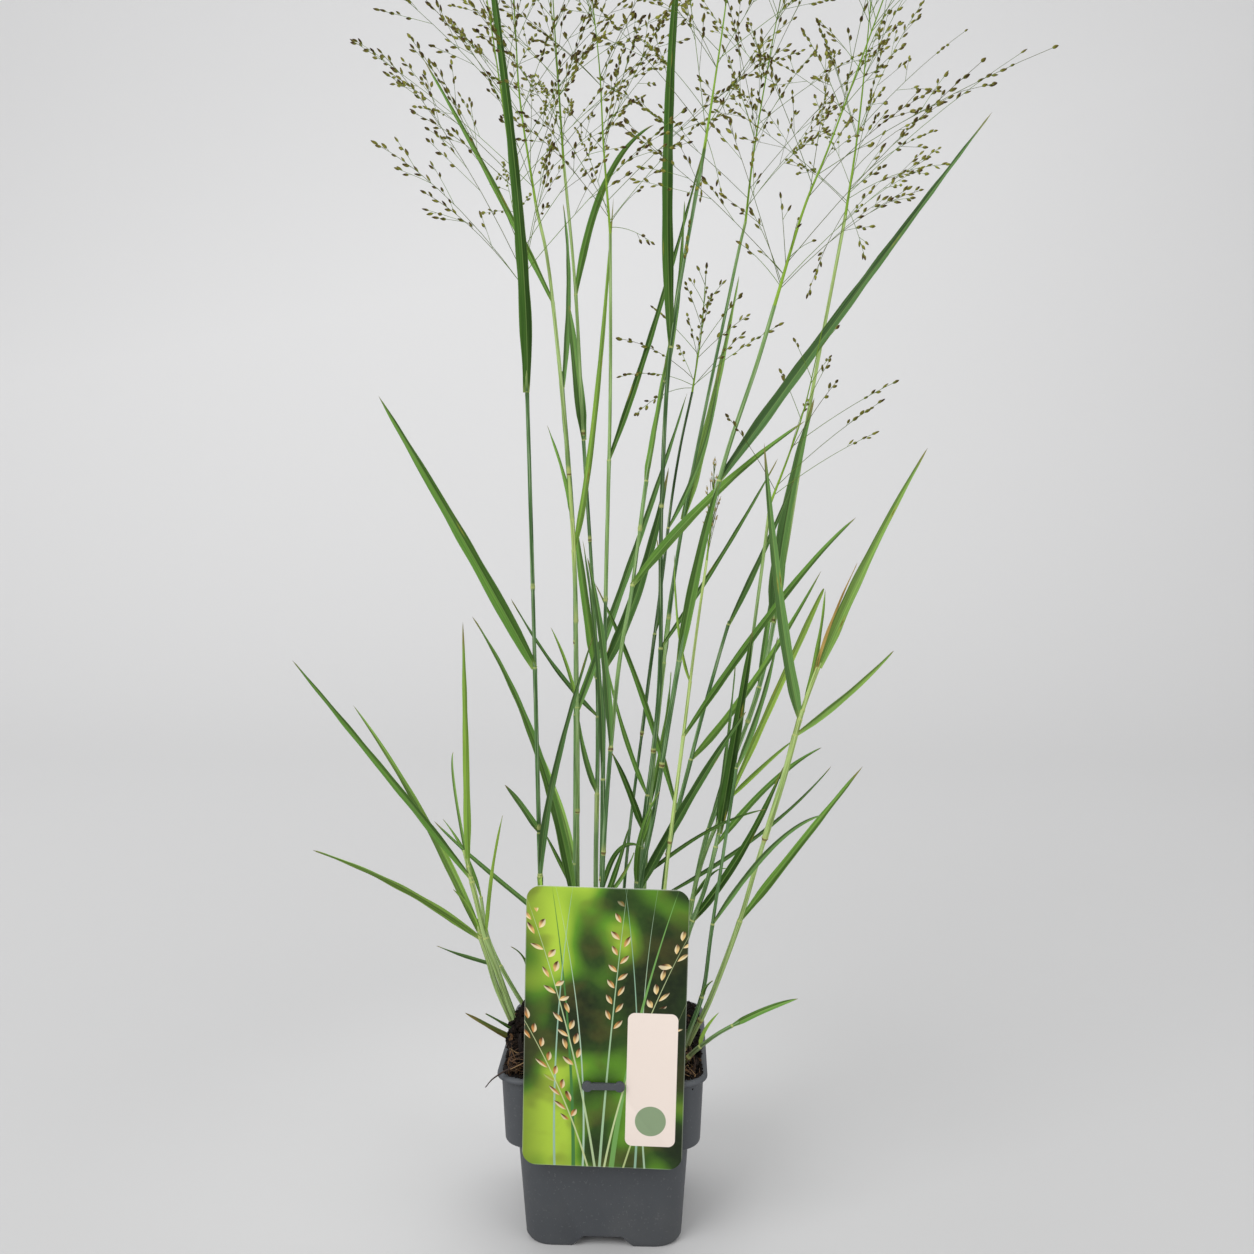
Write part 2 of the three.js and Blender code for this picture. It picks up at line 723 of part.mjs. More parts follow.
// Three-sided rings about a line, each at a share of its length with a radius and a sideways shift.
function threeSided(line, stations) {
  const tangent = line.at(-1).clone().sub(line[0]).normalize();
  const aside = Math.abs(tangent.z) < 0.8 ? new THREE.Vector3(0, 0, 1) : new THREE.Vector3(0, 1, 0);
  const side = new THREE.Vector3().crossVectors(tangent, aside).normalize();
  const back = new THREE.Vector3().crossVectors(tangent, side);
  return stations.map(({ u, radius, shift = 0, turn = 0 }) => {
    const whole = Math.min(line.length - 2, Math.floor(u * (line.length - 1)));
    const middle = line[whole].clone().lerp(line[whole + 1], u * (line.length - 1) - whole);
    middle.addScaledVector(side, shift * Math.cos(turn)).addScaledVector(back, shift * Math.sin(turn));
    return [0, 1, 2].map((n) => middle.clone()
      .addScaledVector(side, radius * Math.cos(n * 2 * Math.PI / 3))
      .addScaledVector(back, radius * Math.sin(n * 2 * Math.PI / 3)));
  });
}

// A hair-thin branch with spikelets seated along its outer part and one at its tip.
function branchSolid(line, seats) {
  const length = line[0].distanceTo(line.at(-1));
  const share = spikeletLength / length;
  const stations = [{ u: 0, radius: branchRadius }];
  seats.forEach((u, n) => {
    const turn = n * 2.1;
    stations.push({ u, radius: branchRadius });
    stations.push({ u: u + share * 0.4, radius: spikeletWidth / 2, shift: 0.35, turn });
    stations.push({ u: u + share, radius: branchRadius });
  });
  stations.push({ u: 1 - share, radius: branchRadius });
  stations.push({ u: 1 - share * 0.6, radius: spikeletWidth / 2 });
  const rings = threeSided(line, stations);
  rings.push([line.at(-1)]);
  return toSolid(skin(rings));
}

// Branches stand in whorls, longest at the bottom of the spray.
const whorls = [
  { at: 0.05, count: 3, length: 1, lean: 0.86, seats: [0.55, 0.78] },
  { at: 0.28, count: 3, length: 0.8, lean: 0.8, seats: [0.6, 0.8] },
  { at: 0.5, count: 2, length: 0.58, lean: 0.72, seats: [0.7] },
  { at: 0.7, count: 2, length: 0.38, lean: 0.62, seats: [0.65] },
  { at: 0.88, count: 1, length: 0.24, lean: 0.5, seats: [] },
];

function branchLine(root, axis, turn, lean, length) {
  const outward = new THREE.Vector3(Math.cos(turn), Math.sin(turn), 0);
  const heading = axis.clone().multiplyScalar(Math.cos(lean)).addScaledVector(outward, Math.sin(lean));
  const middle = root.clone().addScaledVector(heading, length * 0.5);
  const tip = root.clone().addScaledVector(heading, length).add(new THREE.Vector3(0, 0, -0.07 * length));
  return [root, middle, tip];
}

function samplesOf(line) {
  const points = [];
  for (let n = 0; n + 1 < line.length; n++) {
    const count = Math.ceil(line[n].distanceTo(line[n + 1]) / 2);
    for (let k = 0; k <= count; k++) points.push(line[n].clone().lerp(line[n + 1], k / count));
  }
  return points;
}

function growSpray(spray) {
  const random = seededRandom(spray.seed);
  const axisLine = spray.curve.getSpacedPoints(4);
  const axisStations = [0, 0.25, 0.5, 0.75, 0.97].map((u) => ({ u, radius: 0.8 - 0.35 * u }));
  const solids = [toSolid(skin([...threeSided(axisLine, axisStations), [axisLine.at(-1)]]))];
  let turn = random() * 2 * Math.PI;
  for (const whorl of whorls) {
    for (let n = 0; n < whorl.count; n++) {
      turn += 2.4;
      const u = whorl.at + 0.03 * n;
      const root = spray.curve.getPointAt(u);
      const axis = spray.curve.getTangentAt(u);
      const lean = whorl.lean * (spray.spread ?? 1) * (0.85 + 0.3 * random());
      const length = Math.max(3 * spikeletLength, spray.reach * whorl.length * (0.85 + 0.3 * random()));
      for (let tries = 0; tries < 12; tries++) {
        const line = branchLine(root, axis, turn + tries * 0.3, lean, length);
        const samples = samplesOf(line);
        if (!isClear(samples, spray.owner)) continue;
        fill(samples, spray.owner);
        const seats = length > 25 ? whorl.seats : [];
        solids.push(branchSolid(line, seats));
        break;
      }
    }
  }
  return join(solids);
}

// ---- growing the clump ------------------------------------------------------------------------

for (const stem of stems) {
  stem.curve = culmCurve(stem.path);
  fill(spaced(stem.curve, 2.5), stem.name);
  if (stem.spray) {
    const top = point(stem.path.at(-1));
    const next = point(stem.spray.path[0]);
    const start = top.clone().addScaledVector(next.clone().sub(top).normalize(), gap);
    stem.spray.owner = `spray_${stem.name}`;
    stem.spray.curve = culmCurve([start.toArray(), ...stem.spray.path]);
    fill(spaced(stem.spray.curve, 2.5).filter((p) => p.distanceTo(start) > 8), stem.spray.owner);
  }
}

const random = seededRandom(7);
for (const stem of stems) {
  const solids = [culm(stem.curve, stem.radius, stem.radius * 0.7, stem.leaves.map((blade) => blade.at))];
  for (const blade of stem.leaves) {
    const start = stem.curve.getPoint(atHeight(stem.curve, blade.at));
    blade.roll = (random() - 0.5) * 1.1;
    blade.twist = (random() - 0.5) * 1.6;
    let curve = bladeCurve(start, blade, 0);
    for (let step = 1; step < 17 && !isClear(bladePoints(curve, blade), stem.name); step++) {
      const swing = (step % 2 ? 1 : -1) * Math.ceil(step / 2) * swingStep;
      curve = bladeCurve(start, blade, swing);
    }
    fill(bladePoints(curve, blade), stem.name);
    solids.push(bladeSolid(curve, blade));
  }
  stem.solid = join(solids);
}

const switchgrass = new THREE.Group();

function addMesh(name, geometry, color, roughness) {
  const material = new THREE.MeshStandardMaterial({ color, roughness, metalness: 0 });
  const mesh = new THREE.Mesh(geometry, material);
  mesh.name = name;
  switchgrass.add(mesh);
  return mesh;
}

addMesh('pot', toGeometry(pot()), colors.pot, 0.65);
addMesh('soil', toGeometry(soil(stems)), colors.soil, 0.95);
const cardMesh = addMesh('picture_card', card(), colors.card, 0.35);
cardMesh.position.set(cardAside, cardBack, slotHeight);
cardMesh.rotation.y = cardTurn;

stems.forEach((stem, n) => {
  const color = [colors.leafMid, colors.leafDark, colors.leafLight][n % 3];
  addMesh(`stem_${stem.name}`, toGeometry(stem.solid), color, 0.5);
});
for (const stem of stems) {
  if (!stem.spray) continue;
  addMesh(`spray_${stem.name}`, toGeometry(growSpray(stem.spray)), colors.spray, 0.7);
}

export default switchgrass;
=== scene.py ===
import math

import bpy
import numpy as np
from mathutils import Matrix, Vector, noise


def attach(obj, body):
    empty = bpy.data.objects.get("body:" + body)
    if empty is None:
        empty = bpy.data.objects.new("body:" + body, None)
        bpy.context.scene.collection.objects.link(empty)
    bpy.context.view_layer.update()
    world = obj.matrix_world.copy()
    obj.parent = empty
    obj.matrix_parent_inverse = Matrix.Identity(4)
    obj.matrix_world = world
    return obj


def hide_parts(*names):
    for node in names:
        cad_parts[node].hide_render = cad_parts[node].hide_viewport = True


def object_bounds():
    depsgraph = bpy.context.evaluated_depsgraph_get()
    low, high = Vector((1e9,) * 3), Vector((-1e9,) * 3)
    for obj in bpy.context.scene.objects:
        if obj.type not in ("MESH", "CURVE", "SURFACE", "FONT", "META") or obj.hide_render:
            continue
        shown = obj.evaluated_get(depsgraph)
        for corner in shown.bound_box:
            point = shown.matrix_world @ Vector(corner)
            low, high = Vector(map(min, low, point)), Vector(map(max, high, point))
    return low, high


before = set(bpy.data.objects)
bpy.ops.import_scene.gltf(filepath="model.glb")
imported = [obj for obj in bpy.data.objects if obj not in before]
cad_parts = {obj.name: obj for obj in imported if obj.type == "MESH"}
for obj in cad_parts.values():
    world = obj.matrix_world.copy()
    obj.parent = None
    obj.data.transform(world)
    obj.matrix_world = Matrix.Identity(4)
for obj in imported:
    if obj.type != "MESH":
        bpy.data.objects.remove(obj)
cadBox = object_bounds()
mm = 0.001
bpy.context.scene.view_settings.view_transform = "Standard"


# Picking and shaping

def leaveEdit():
    if bpy.context.object and bpy.context.object.mode != "OBJECT":
        bpy.ops.object.mode_set(mode="OBJECT")


def deselect():
    leaveEdit()
    bpy.ops.object.select_all(action="DESELECT")


def activate(piece):
    deselect()
    piece.select_set(True)
    bpy.context.view_layer.objects.active = piece


def added(name):  # names the primitive that was just added
    piece = bpy.context.object
    piece.name = piece.data.name = name
    return piece


def everything(*place):
    return True


def pick(piece, kind, test=everything):  # selects what passes the test, and leaves edit mode on
    activate(piece)
    bpy.ops.object.mode_set(mode="EDIT")
    bpy.ops.mesh.select_mode(type=kind)
    bpy.ops.mesh.select_all(action="DESELECT")
    bpy.ops.object.mode_set(mode="OBJECT")
    mesh = piece.data
    if kind == "FACE":
        for face in mesh.polygons:
            face.select = bool(test(face.center, face.normal))
    elif kind == "EDGE":
        for edge in mesh.edges:
            edge.select = bool(test(*(mesh.vertices[n].co for n in edge.vertices)))
    else:
        for vertex in mesh.vertices:
            vertex.select = bool(test(vertex.co))
    bpy.ops.object.mode_set(mode="EDIT")


def extrude(x, y, z):
    bpy.ops.mesh.extrude_region_move(TRANSFORM_OT_translate={"value": (x, y, z)})


def drawUp(rings, size=1):  # extrudes the picked face through rings, each a half width and a height
    for (half, height), (nextHalf, nextHeight) in zip(rings, rings[1:]):
        extrude(0, 0, (nextHeight - height) * size)
        share = nextHalf / half
        bpy.ops.transform.resize(value=(share, share, 1), center_override=(0, 0, nextHeight * size))


def turnOutward():  # turns every face outwards, and ends the edit
    bpy.ops.mesh.select_all(action="SELECT")
    bpy.ops.mesh.normals_make_consistent(inside=False)
    leaveEdit()


def settle(piece):  # puts the piece's place into its mesh
    activate(piece)
    bpy.ops.object.transform_apply(location=True, rotation=True, scale=True)
    return piece


def inMetres(lengths):
    return [length * mm for length in lengths]


def box(name, size, at):
    deselect()
    bpy.ops.mesh.primitive_cube_add(size=1, location=inMetres(at))
    piece = added(name)
    piece.scale = inMetres(size)
    return settle(piece)


def disc(name, radius, depth, at, turned=(0, 0, 0), sides=24):
    deselect()
    bpy.ops.mesh.primitive_cylinder_add(
        vertices=sides, radius=radius * mm, depth=depth * mm, location=inMetres(at), rotation=turned)
    return settle(added(name))


def modify(piece, kind, **settings):
    activate(piece)
    modifier = piece.modifiers.new(kind.title(), kind)
    for setting, value in settings.items():
        setattr(modifier, setting, value)
    bpy.ops.object.modifier_apply(modifier=modifier.name)


def carve(piece, cutter, operation="DIFFERENCE"):
    modify(piece, "BOOLEAN", operation=operation, object=cutter, solver="EXACT")
    bpy.data.objects.remove(cutter)


def soften(piece, width, fromAngle):  # a small bevel along the edges that are sharper than the angle
    modify(piece, "BEVEL", width=width * mm, segments=2, limit_method="ANGLE", angle_limit=math.radians(fromAngle))


def smooth(piece, toAngle):
    activate(piece)
    bpy.ops.object.shade_smooth_by_angle(angle=math.radians(toAngle))
    return piece


def dress(piece, slotName, *nodes):
    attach(piece, "root")
    if nodes:
        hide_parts(*nodes)


# Finishes

def seen(red, green, blue):  # a colour as it looks, out of 255, in linear light
    shares = [c / 255 for c in (red, green, blue)]
    return tuple(c / 12.92 if c < 0.04045 else ((c + 0.055) / 1.055) ** 2.4 for c in shares) + (1,)


class Socket:  # an output of a node, so that shader maths reads as sums
    def __init__(self, finish, port):
        self.finish, self.port = finish, port

    def maths(self, operation, *others):
        return self.finish.maths(operation, self, *others)

    def __add__(self, other):
        return self.maths("ADD", other)

    def __sub__(self, other):
        return self.maths("SUBTRACT", other)

    def __rsub__(self, other):
        return self.finish.maths("SUBTRACT", other, self)

    def __mul__(self, other):
        return self.maths("MULTIPLY", other)

    def __truediv__(self, other):
        return self.maths("DIVIDE", other)

    def __pow__(self, other):
        return self.maths("POWER", other)

    def __abs__(self):
        return self.maths("ABSOLUTE")

    __radd__ = __add__
    __rmul__ = __mul__


class Finish:  # a material on its way to being finished
    def __init__(self, name, **fixed):
        self.material = bpy.data.materials.new(name)
        self.material.use_nodes = True
        self.tree = self.material.node_tree
        self.shader = self.tree.nodes["Principled BSDF"]
        for socket, value in fixed.items():
            self.shader.inputs[socket.replace("_", " ")].default_value = value

    def add(self, kind, settings=None, values=None, output=0):
        node = self.tree.nodes.new("ShaderNode" + kind)
        for setting, value in (settings or {}).items():
            if setting == "stops":
                for n, (place, color) in enumerate(value):
                    stops = node.color_ramp.elements
                    stop = stops[n] if n < 2 else stops.new(place)
                    stop.position, stop.color = place, color
            else:
                setattr(node, setting, value)
        self.join(node, values or {})
        return Socket(self, node.outputs[output])

    def join(self, node, values):
        for socket, value in values.items():
            if isinstance(value, Socket):
                self.tree.links.new(value.port, node.inputs[socket])
            else:
                node.inputs[socket].default_value = value

    def paint(self, **values):  # gives the shader its colour, roughness and so on
        self.join(self.shader, {socket.replace("_", " "): value for socket, value in values.items()})
        return self.material

    def maths(self, operation, *terms):
        return self.add("Math", {"operation": operation}, dict(enumerate(terms)))

    def place(self):
        return self.add("TexCoord", output="Object")

    def lay(self):  # millimetres across and along a laid piece, and the share of its length
        return self.parts(self.add("Attribute", {"attribute_name": "lay"}, output="Vector"))

    def marks(self, *names):
        return [self.add("Attribute", {"attribute_name": name}, output="Fac") for name in names]

    def parts(self, vector):
        split = self.add("SeparateXYZ", values={0: vector}).port.node
        return [Socket(self, split.outputs[n]) for n in range(3)]

    def vector(self, x, y, z):
        return self.add("CombineXYZ", values={0: x, 1: y, 2: z})

    def noise(self, vector, scale=1, detail=2, roughness=0.5):
        values = {"Vector": vector, "Scale": scale, "Detail": detail, "Roughness": roughness}
        return self.add("TexNoise", values=values)

    def cells(self, vector, scale=1, output="Distance"):
        return self.add("TexVoronoi", values={"Vector": vector, "Scale": scale}, output=output)

    def mix(self, share, first, second):
        return self.add("Mix", {"data_type": "RGBA"}, {0: share, 6: first, 7: second}, output=2)

    def coat(self, body, *coats):  # lays colours over the body in turn, each with its share first
        for share, *color in coats:
            body = self.mix(share, body, seen(*color))
        return body

    def scale(self, color, share):
        return self.add("VectorMath", {"operation": "SCALE"}, {"Vector": color, "Scale": share})

    def ramp(self, value, *stops):  # each stop is a place and a colour as it looks
        return self.add("ValToRGB", {"stops": [(place, seen(*color)) for place, *color in stops]}, {0: value})

    def fade(self, value, low, high):  # 0 below low, 1 above high
        values = {"Value": value, "From Min": low, "From Max": high}
        return self.add("MapRange", {"interpolation_type": "SMOOTHSTEP"}, values)

    def bump(self, height, distance, strength=1):
        return self.add("Bump", values={"Height": height, "Distance": distance, "Strength": strength})


# Studio

studio = {
    "frameSide": 1254, "focalPixels": 1293.2,
    "cameraAt": (0.02836, -0.56401, 0.32659), "lookDown": 6.0, "turnLeft": 1.918,
    "floorWidth": 9.0, "floorFront": -3.0, "floorBack": 2.2, "coveRadius": 1.2, "wallHeight": 3.4,
    # The paper's grey is painted darker towards the front of the floor and towards the right, as painted shade.
    "paintedPaperShades": ((0.2, 0.465), (0.34, 0.495), (0.68, 0.62), (1, 0.725)), "paintedShadeSlope": 0.36, "coolness": 1.005,
    # painted light: a paler patch of paper round the pot that lightens its shadow
    "paintedLightAt": (-0.04, 0.06), "paintedLightReach": 0.25, "glow": 0.19, "paintedLightShade": 0.9,
    "skyLight": 0.62,
    "lights": [  # name, place, the height that it looks at, width and power
        ("key", (-1.3, -1.6, 1.9), 0.3, 1.6, 42),
        ("fill", (1.7, -1.2, 1.1), 0.3, 1.8, 14),
        ("top", (0.1, 0.4, 2.2), 0.2, 1.6, 18)],
}


def makeCamera():
    data = bpy.data.cameras.new("camera")
    data.lens = data.sensor_width * studio["focalPixels"] / studio["frameSide"]
    data.clip_start, data.clip_end = 0.01, 50
    camera = bpy.data.objects.new("camera", data)
    camera.location = studio["cameraAt"]
    camera.rotation_euler = (math.radians(90 - studio["lookDown"]), 0, math.radians(studio["turnLeft"]))
    bpy.context.scene.collection.objects.link(camera)
    bpy.context.scene.camera = camera


def softLight(name, place, aimHeight, size, power):
    data = bpy.data.lights.new(name, "AREA")
    data.shape, data.size, data.energy = "SQUARE", size, power
    light = bpy.data.objects.new(name, data)
    light.location = place
    light.rotation_euler = (Vector((0, 0, aimHeight)) - Vector(place)).to_track_quat("-Z", "Y").to_euler()
    bpy.context.scene.collection.objects.link(light)


def skyLight():
    scene = bpy.context.scene
    scene.world = scene.world or bpy.data.worlds.new("sky")
    scene.world.use_nodes = True
    background = scene.world.node_tree.nodes["Background"]
    background.inputs["Color"].default_value = (1, 1, 1, 1)
    background.inputs["Strength"].default_value = studio["skyLight"]


def stagePaper():
    finish = Finish("studio paper", Roughness=0.9, Specular_IOR_Level=0.1)
    x, y, z = finish.parts(finish.place())
    shades = [(place, (shade, shade, shade * studio["coolness"], 1)) for place, shade in studio["paintedPaperShades"]]
    # painted shade: the paper darker towards the front of the floor and towards the right
    shadedPaper = finish.add("ValToRGB", {"stops": shades}, {0: (y + z - x * studio["paintedShadeSlope"]) * 0.25 + 0.25})
    # painted light round the pot, lightening its shadow on the paper
    paintedLightX, paintedLightY = studio["paintedLightAt"]
    aside, deep = x - paintedLightX, y - paintedLightY
    near = finish.fade((aside * aside + deep * deep) ** 0.5, studio["paintedLightReach"], 0)
    glow = (studio["paintedLightShade"],) * 3 + (1,)
    return finish.paint(Base_Color=finish.mix(near * studio["glow"], shadedPaper, glow))


def makeStage():
    front, back = studio["floorFront"], studio["floorBack"]
    deselect()
    bpy.ops.mesh.primitive_plane_add(size=1, location=(0, front + (back - front) / 2, 0))
    stage = added("studio_floor")
    stage.scale = (studio["floorWidth"], back - front, 1)
    settle(stage)
    pick(stage, "EDGE", lambda a, b: min(a.y, b.y) > back - 0.01)
    extrude(0, 0, studio["wallHeight"])
    pick(stage, "EDGE", lambda a, b: min(a.y, b.y) > back - 0.01 and max(a.z, b.z) < 0.01)
    bpy.ops.mesh.bevel(offset=studio["coveRadius"], segments=16, affect="EDGES")
    leaveEdit()
    bpy.ops.object.shade_smooth()
    stage.data.materials.append(stagePaper())


makeCamera()
makeStage()
for light in studio["lights"]:
    softLight(*light)
skyLight()
print("studio: camera, floor and lights")


# Pot

potShape = {
    "corner": 10, "cornerSteps": 8, "softEdge": 0.25,
    "outside": [(33.2, 0), (34.2, 2), (37.2, 48.4), (41.9, 48.6), (42.1, 49.2), (43.3, 77.6),
                (44.6, 77.8), (45, 78.3), (45, 79), (44.7, 79.6), (44.1, 79.95)],
    "inside": [(42.5, 79.95), (41.9, 79.5), (40.6, 49.8), (35.8, 48.4), (32.8, 1.4)],
    "wall": 1.4, "innerFoot": 33.4, "channelHeight": 5, "channelTop": 17, "channelFoot": 29, "padHalf": 9,
    "drainRadius": 3, "drainAt": 17,
    "lugAt": 79, "lugFront": -47.7, "lugThickness": 1.4, "lugHalf": 9, "lugBulb": 2.2, "lugWaist": 1.3,
    "lugRoot": (8, 3.2, 1.4), "lugRootAt": -45.4,
}

cardShape = {
    "width": 67.5, "height": 121, "thickness": 0.6, "corner": 6, "base": 43, "back": -45.4,
    "slotAt": 79, "slotWidth": 9.2, "slotHeight": 2.4, "turn": 1.4, "aside": 1.2, "softEdge": 0.12,
}


def squareVessel(name, rings, corner, steps):
    half, height = rings[0]
    deselect()
    bpy.ops.mesh.primitive_plane_add(size=2 * half * mm, location=(0, 0, height * mm))
    vessel = settle(added(name))
    pick(vessel, "FACE")
    drawUp(rings, mm)
    pick(vessel, "EDGE", lambda a, b: a.x * b.x > 0 and a.y * b.y > 0)
    bpy.ops.mesh.bevel(offset=corner * mm, segments=steps, affect="EDGES")
    turnOutward()
    return vessel


def makeTrough(side, start, length, grow=0, sunk=0):  # the drain channel under one side of the floor
    shape = potShape
    foot, top = shape["channelFoot"] + 2 * grow, shape["channelTop"] + 2 * grow
    height = shape["channelHeight"] + grow
    trough = box("trough", (foot, length, height + sunk), (0, -(start + length / 2), (height - sunk) / 2))
    pick(trough, "FACE", lambda centre, normal: normal.z > 0.9)
    bpy.ops.transform.resize(value=(top / foot, 1, 1))
    leaveEdit()
    trough.rotation_euler.z = side * math.pi / 2
    return settle(trough)


def makeLug():  # two round ends and a waist, on a root in the pot's lip
    shape, aside, height = potShape, cardShape["aside"], potShape["lugAt"]
    middle = shape["lugFront"] + shape["lugThickness"] / 2
    reach = shape["lugHalf"] - shape["lugBulb"]
    left, right = (
        disc("lug_end", shape["lugBulb"], shape["lugThickness"], (aside + side * reach, middle, height),
             turned=(math.pi / 2, 0, 0)) for side in (-1, 1))
    waist = box("lug_bar", (2 * reach, shape["lugThickness"], 2 * shape["lugWaist"]), (aside, middle, height))
    root = box("lug_bar", shape["lugRoot"], (aside, shape["lugRootAt"], height))
    for other in (right, waist, root):
        carve(left, other, "UNION")
    return left


def makePot():
    shape = potShape
    pot = squareVessel("pot_shell", shape["outside"] + shape["inside"], shape["corner"], shape["cornerSteps"])
    start, wall = shape["padHalf"], shape["wall"]
    for side in range(4):
        lining = makeTrough(side, start - wall, shape["innerFoot"] - start + wall, grow=wall, sunk=-0.5)
        carve(pot, lining, "UNION")
    for side in range(4):
        carve(pot, makeTrough(side, start, 40, sunk=1))
    for side in range(4):
        angle = side * math.pi / 2
        at = (shape["drainAt"] * math.cos(angle), shape["drainAt"] * math.sin(angle), shape["channelHeight"])
        carve(pot, disc("drain", shape["drainRadius"], 8, at))
    carve(pot, makeLug(), "UNION")
    soften(pot, shape["softEdge"], 40)
    return smooth(pot, 38)


def potPlastic():
    finish = Finish("matte pot plastic", Specular_IOR_Level=0.35)
    place = finish.place()
    _, _, height = finish.parts(place)
    cloud, grain = finish.noise(place, 38, 4, 0.6), finish.noise(place, 1500, 2, 0.6)
    specks = finish.fade(finish.noise(place, 900, 1), 0.66, 0.72)
    wear = finish.fade(finish.noise(place, 140, 5, 0.7), 0.56, 0.8)
    dust = finish.fade(cloud + finish.fade(height, 0.03, 0.0) * 0.2, 0.55, 0.8)
    body = finish.coat(
        finish.mix(cloud, seen(67, 70, 74), seen(77, 80, 84)),
        (dust * 0.16, 104, 104, 102), (specks * 0.22, 118, 120, 120), (wear * 0.16, 48, 50, 53))
    return finish.paint(
        Base_Color=body, Roughness=0.5 + cloud * 0.14 + dust * 0.15,
        Normal=finish.bump(grain + specks * 0.8, 0.00004, 0.6))


pot = makePot()
pot.data.materials.append(potPlastic())
dress(pot, "pot", "pot")
print("pot:", len(pot.data.polygons), "faces")


# Picture card

cardPicture = {  # millimetres aside from the card's middle and up from its foot
    "panelAt": (20, 39), "panelHalf": (7.5, 26), "panelCorner": 3, "discAt": (20, 21), "discRadius": 6.5,
    "strands": [  # foot, lean, arch, width, top and colour
        (-12, -0.02, -0.0006, 0.8, 119, (70, 122, 60)), (-20, -0.04, 0.0007, 0.5, 119, (150, 184, 160)),
        (-8, 0.02, -0.0011, 0.45, 110, (170, 196, 170)), (14, 0.04, -0.0008, 0.5, 118, (140, 176, 150)),
        (18, -0.1, 0.001, 0.4, 112, (166, 192, 160)), (4, 0.1, 0.0009, 1.1, 119, (112, 160, 84))],
    "seeded": [  # the same, then where the seeds start and end, their step and their colour
        ((-3, -0.16, -0.0009, 0.5, 112, (176, 196, 150)), (44, 112, 6.2, (214, 170, 104))),
        ((-1, 0.05, 0.0002, 0.55, 116, (160, 190, 150)), (60, 116, 7, (196, 146, 82))),
        ((1, 0.16, 0.0016, 0.45, 104, (190, 204, 150)), (70, 104, 5.8, (222, 190, 126))),
        ((-6, -0.3, -0.0022, 0.4, 80, (190, 200, 146)), (20, 80, 6, (188, 130, 68))),
        ((9, 0.28, 0.0008, 0.4, 62, (176, 192, 130)), (40, 62, 5.2, (206, 160, 92)))],
}


def makeCard():
    shape = cardShape
    middle, aside = (shape["base"] + shape["height"] / 2) * mm, shape["aside"] * mm
    deselect()
    bpy.ops.mesh.primitive_plane_add(
        size=1, location=(aside, shape["back"] * mm, middle), rotation=(math.pi / 2, 0, 0))
    card = added("hanging_card")
    card.scale = (shape["width"] * mm, shape["height"] * mm, 1)
    settle(card)
    pick(card, "VERT")
    bpy.ops.mesh.bevel(offset=shape["corner"] * mm, segments=10, affect="VERTICES")
    bpy.ops.mesh.select_all(action="SELECT")
    extrude(0, -shape["thickness"] * mm, 0)
    turnOutward()
    slotAt = (shape["aside"], shape["back"] - shape["thickness"] / 2, shape["slotAt"])
    carve(card, box("slot", (shape["slotWidth"], 5 * shape["thickness"], shape["slotHeight"]), slotAt))
    soften(card, shape["softEdge"], 60)
    pick(card, "FACE")
    bpy.ops.transform.rotate(value=math.radians(-shape["turn"]), orient_axis="Y",
                             center_override=(aside, 0, shape["slotAt"] * mm))
    return smooth(card, 40)


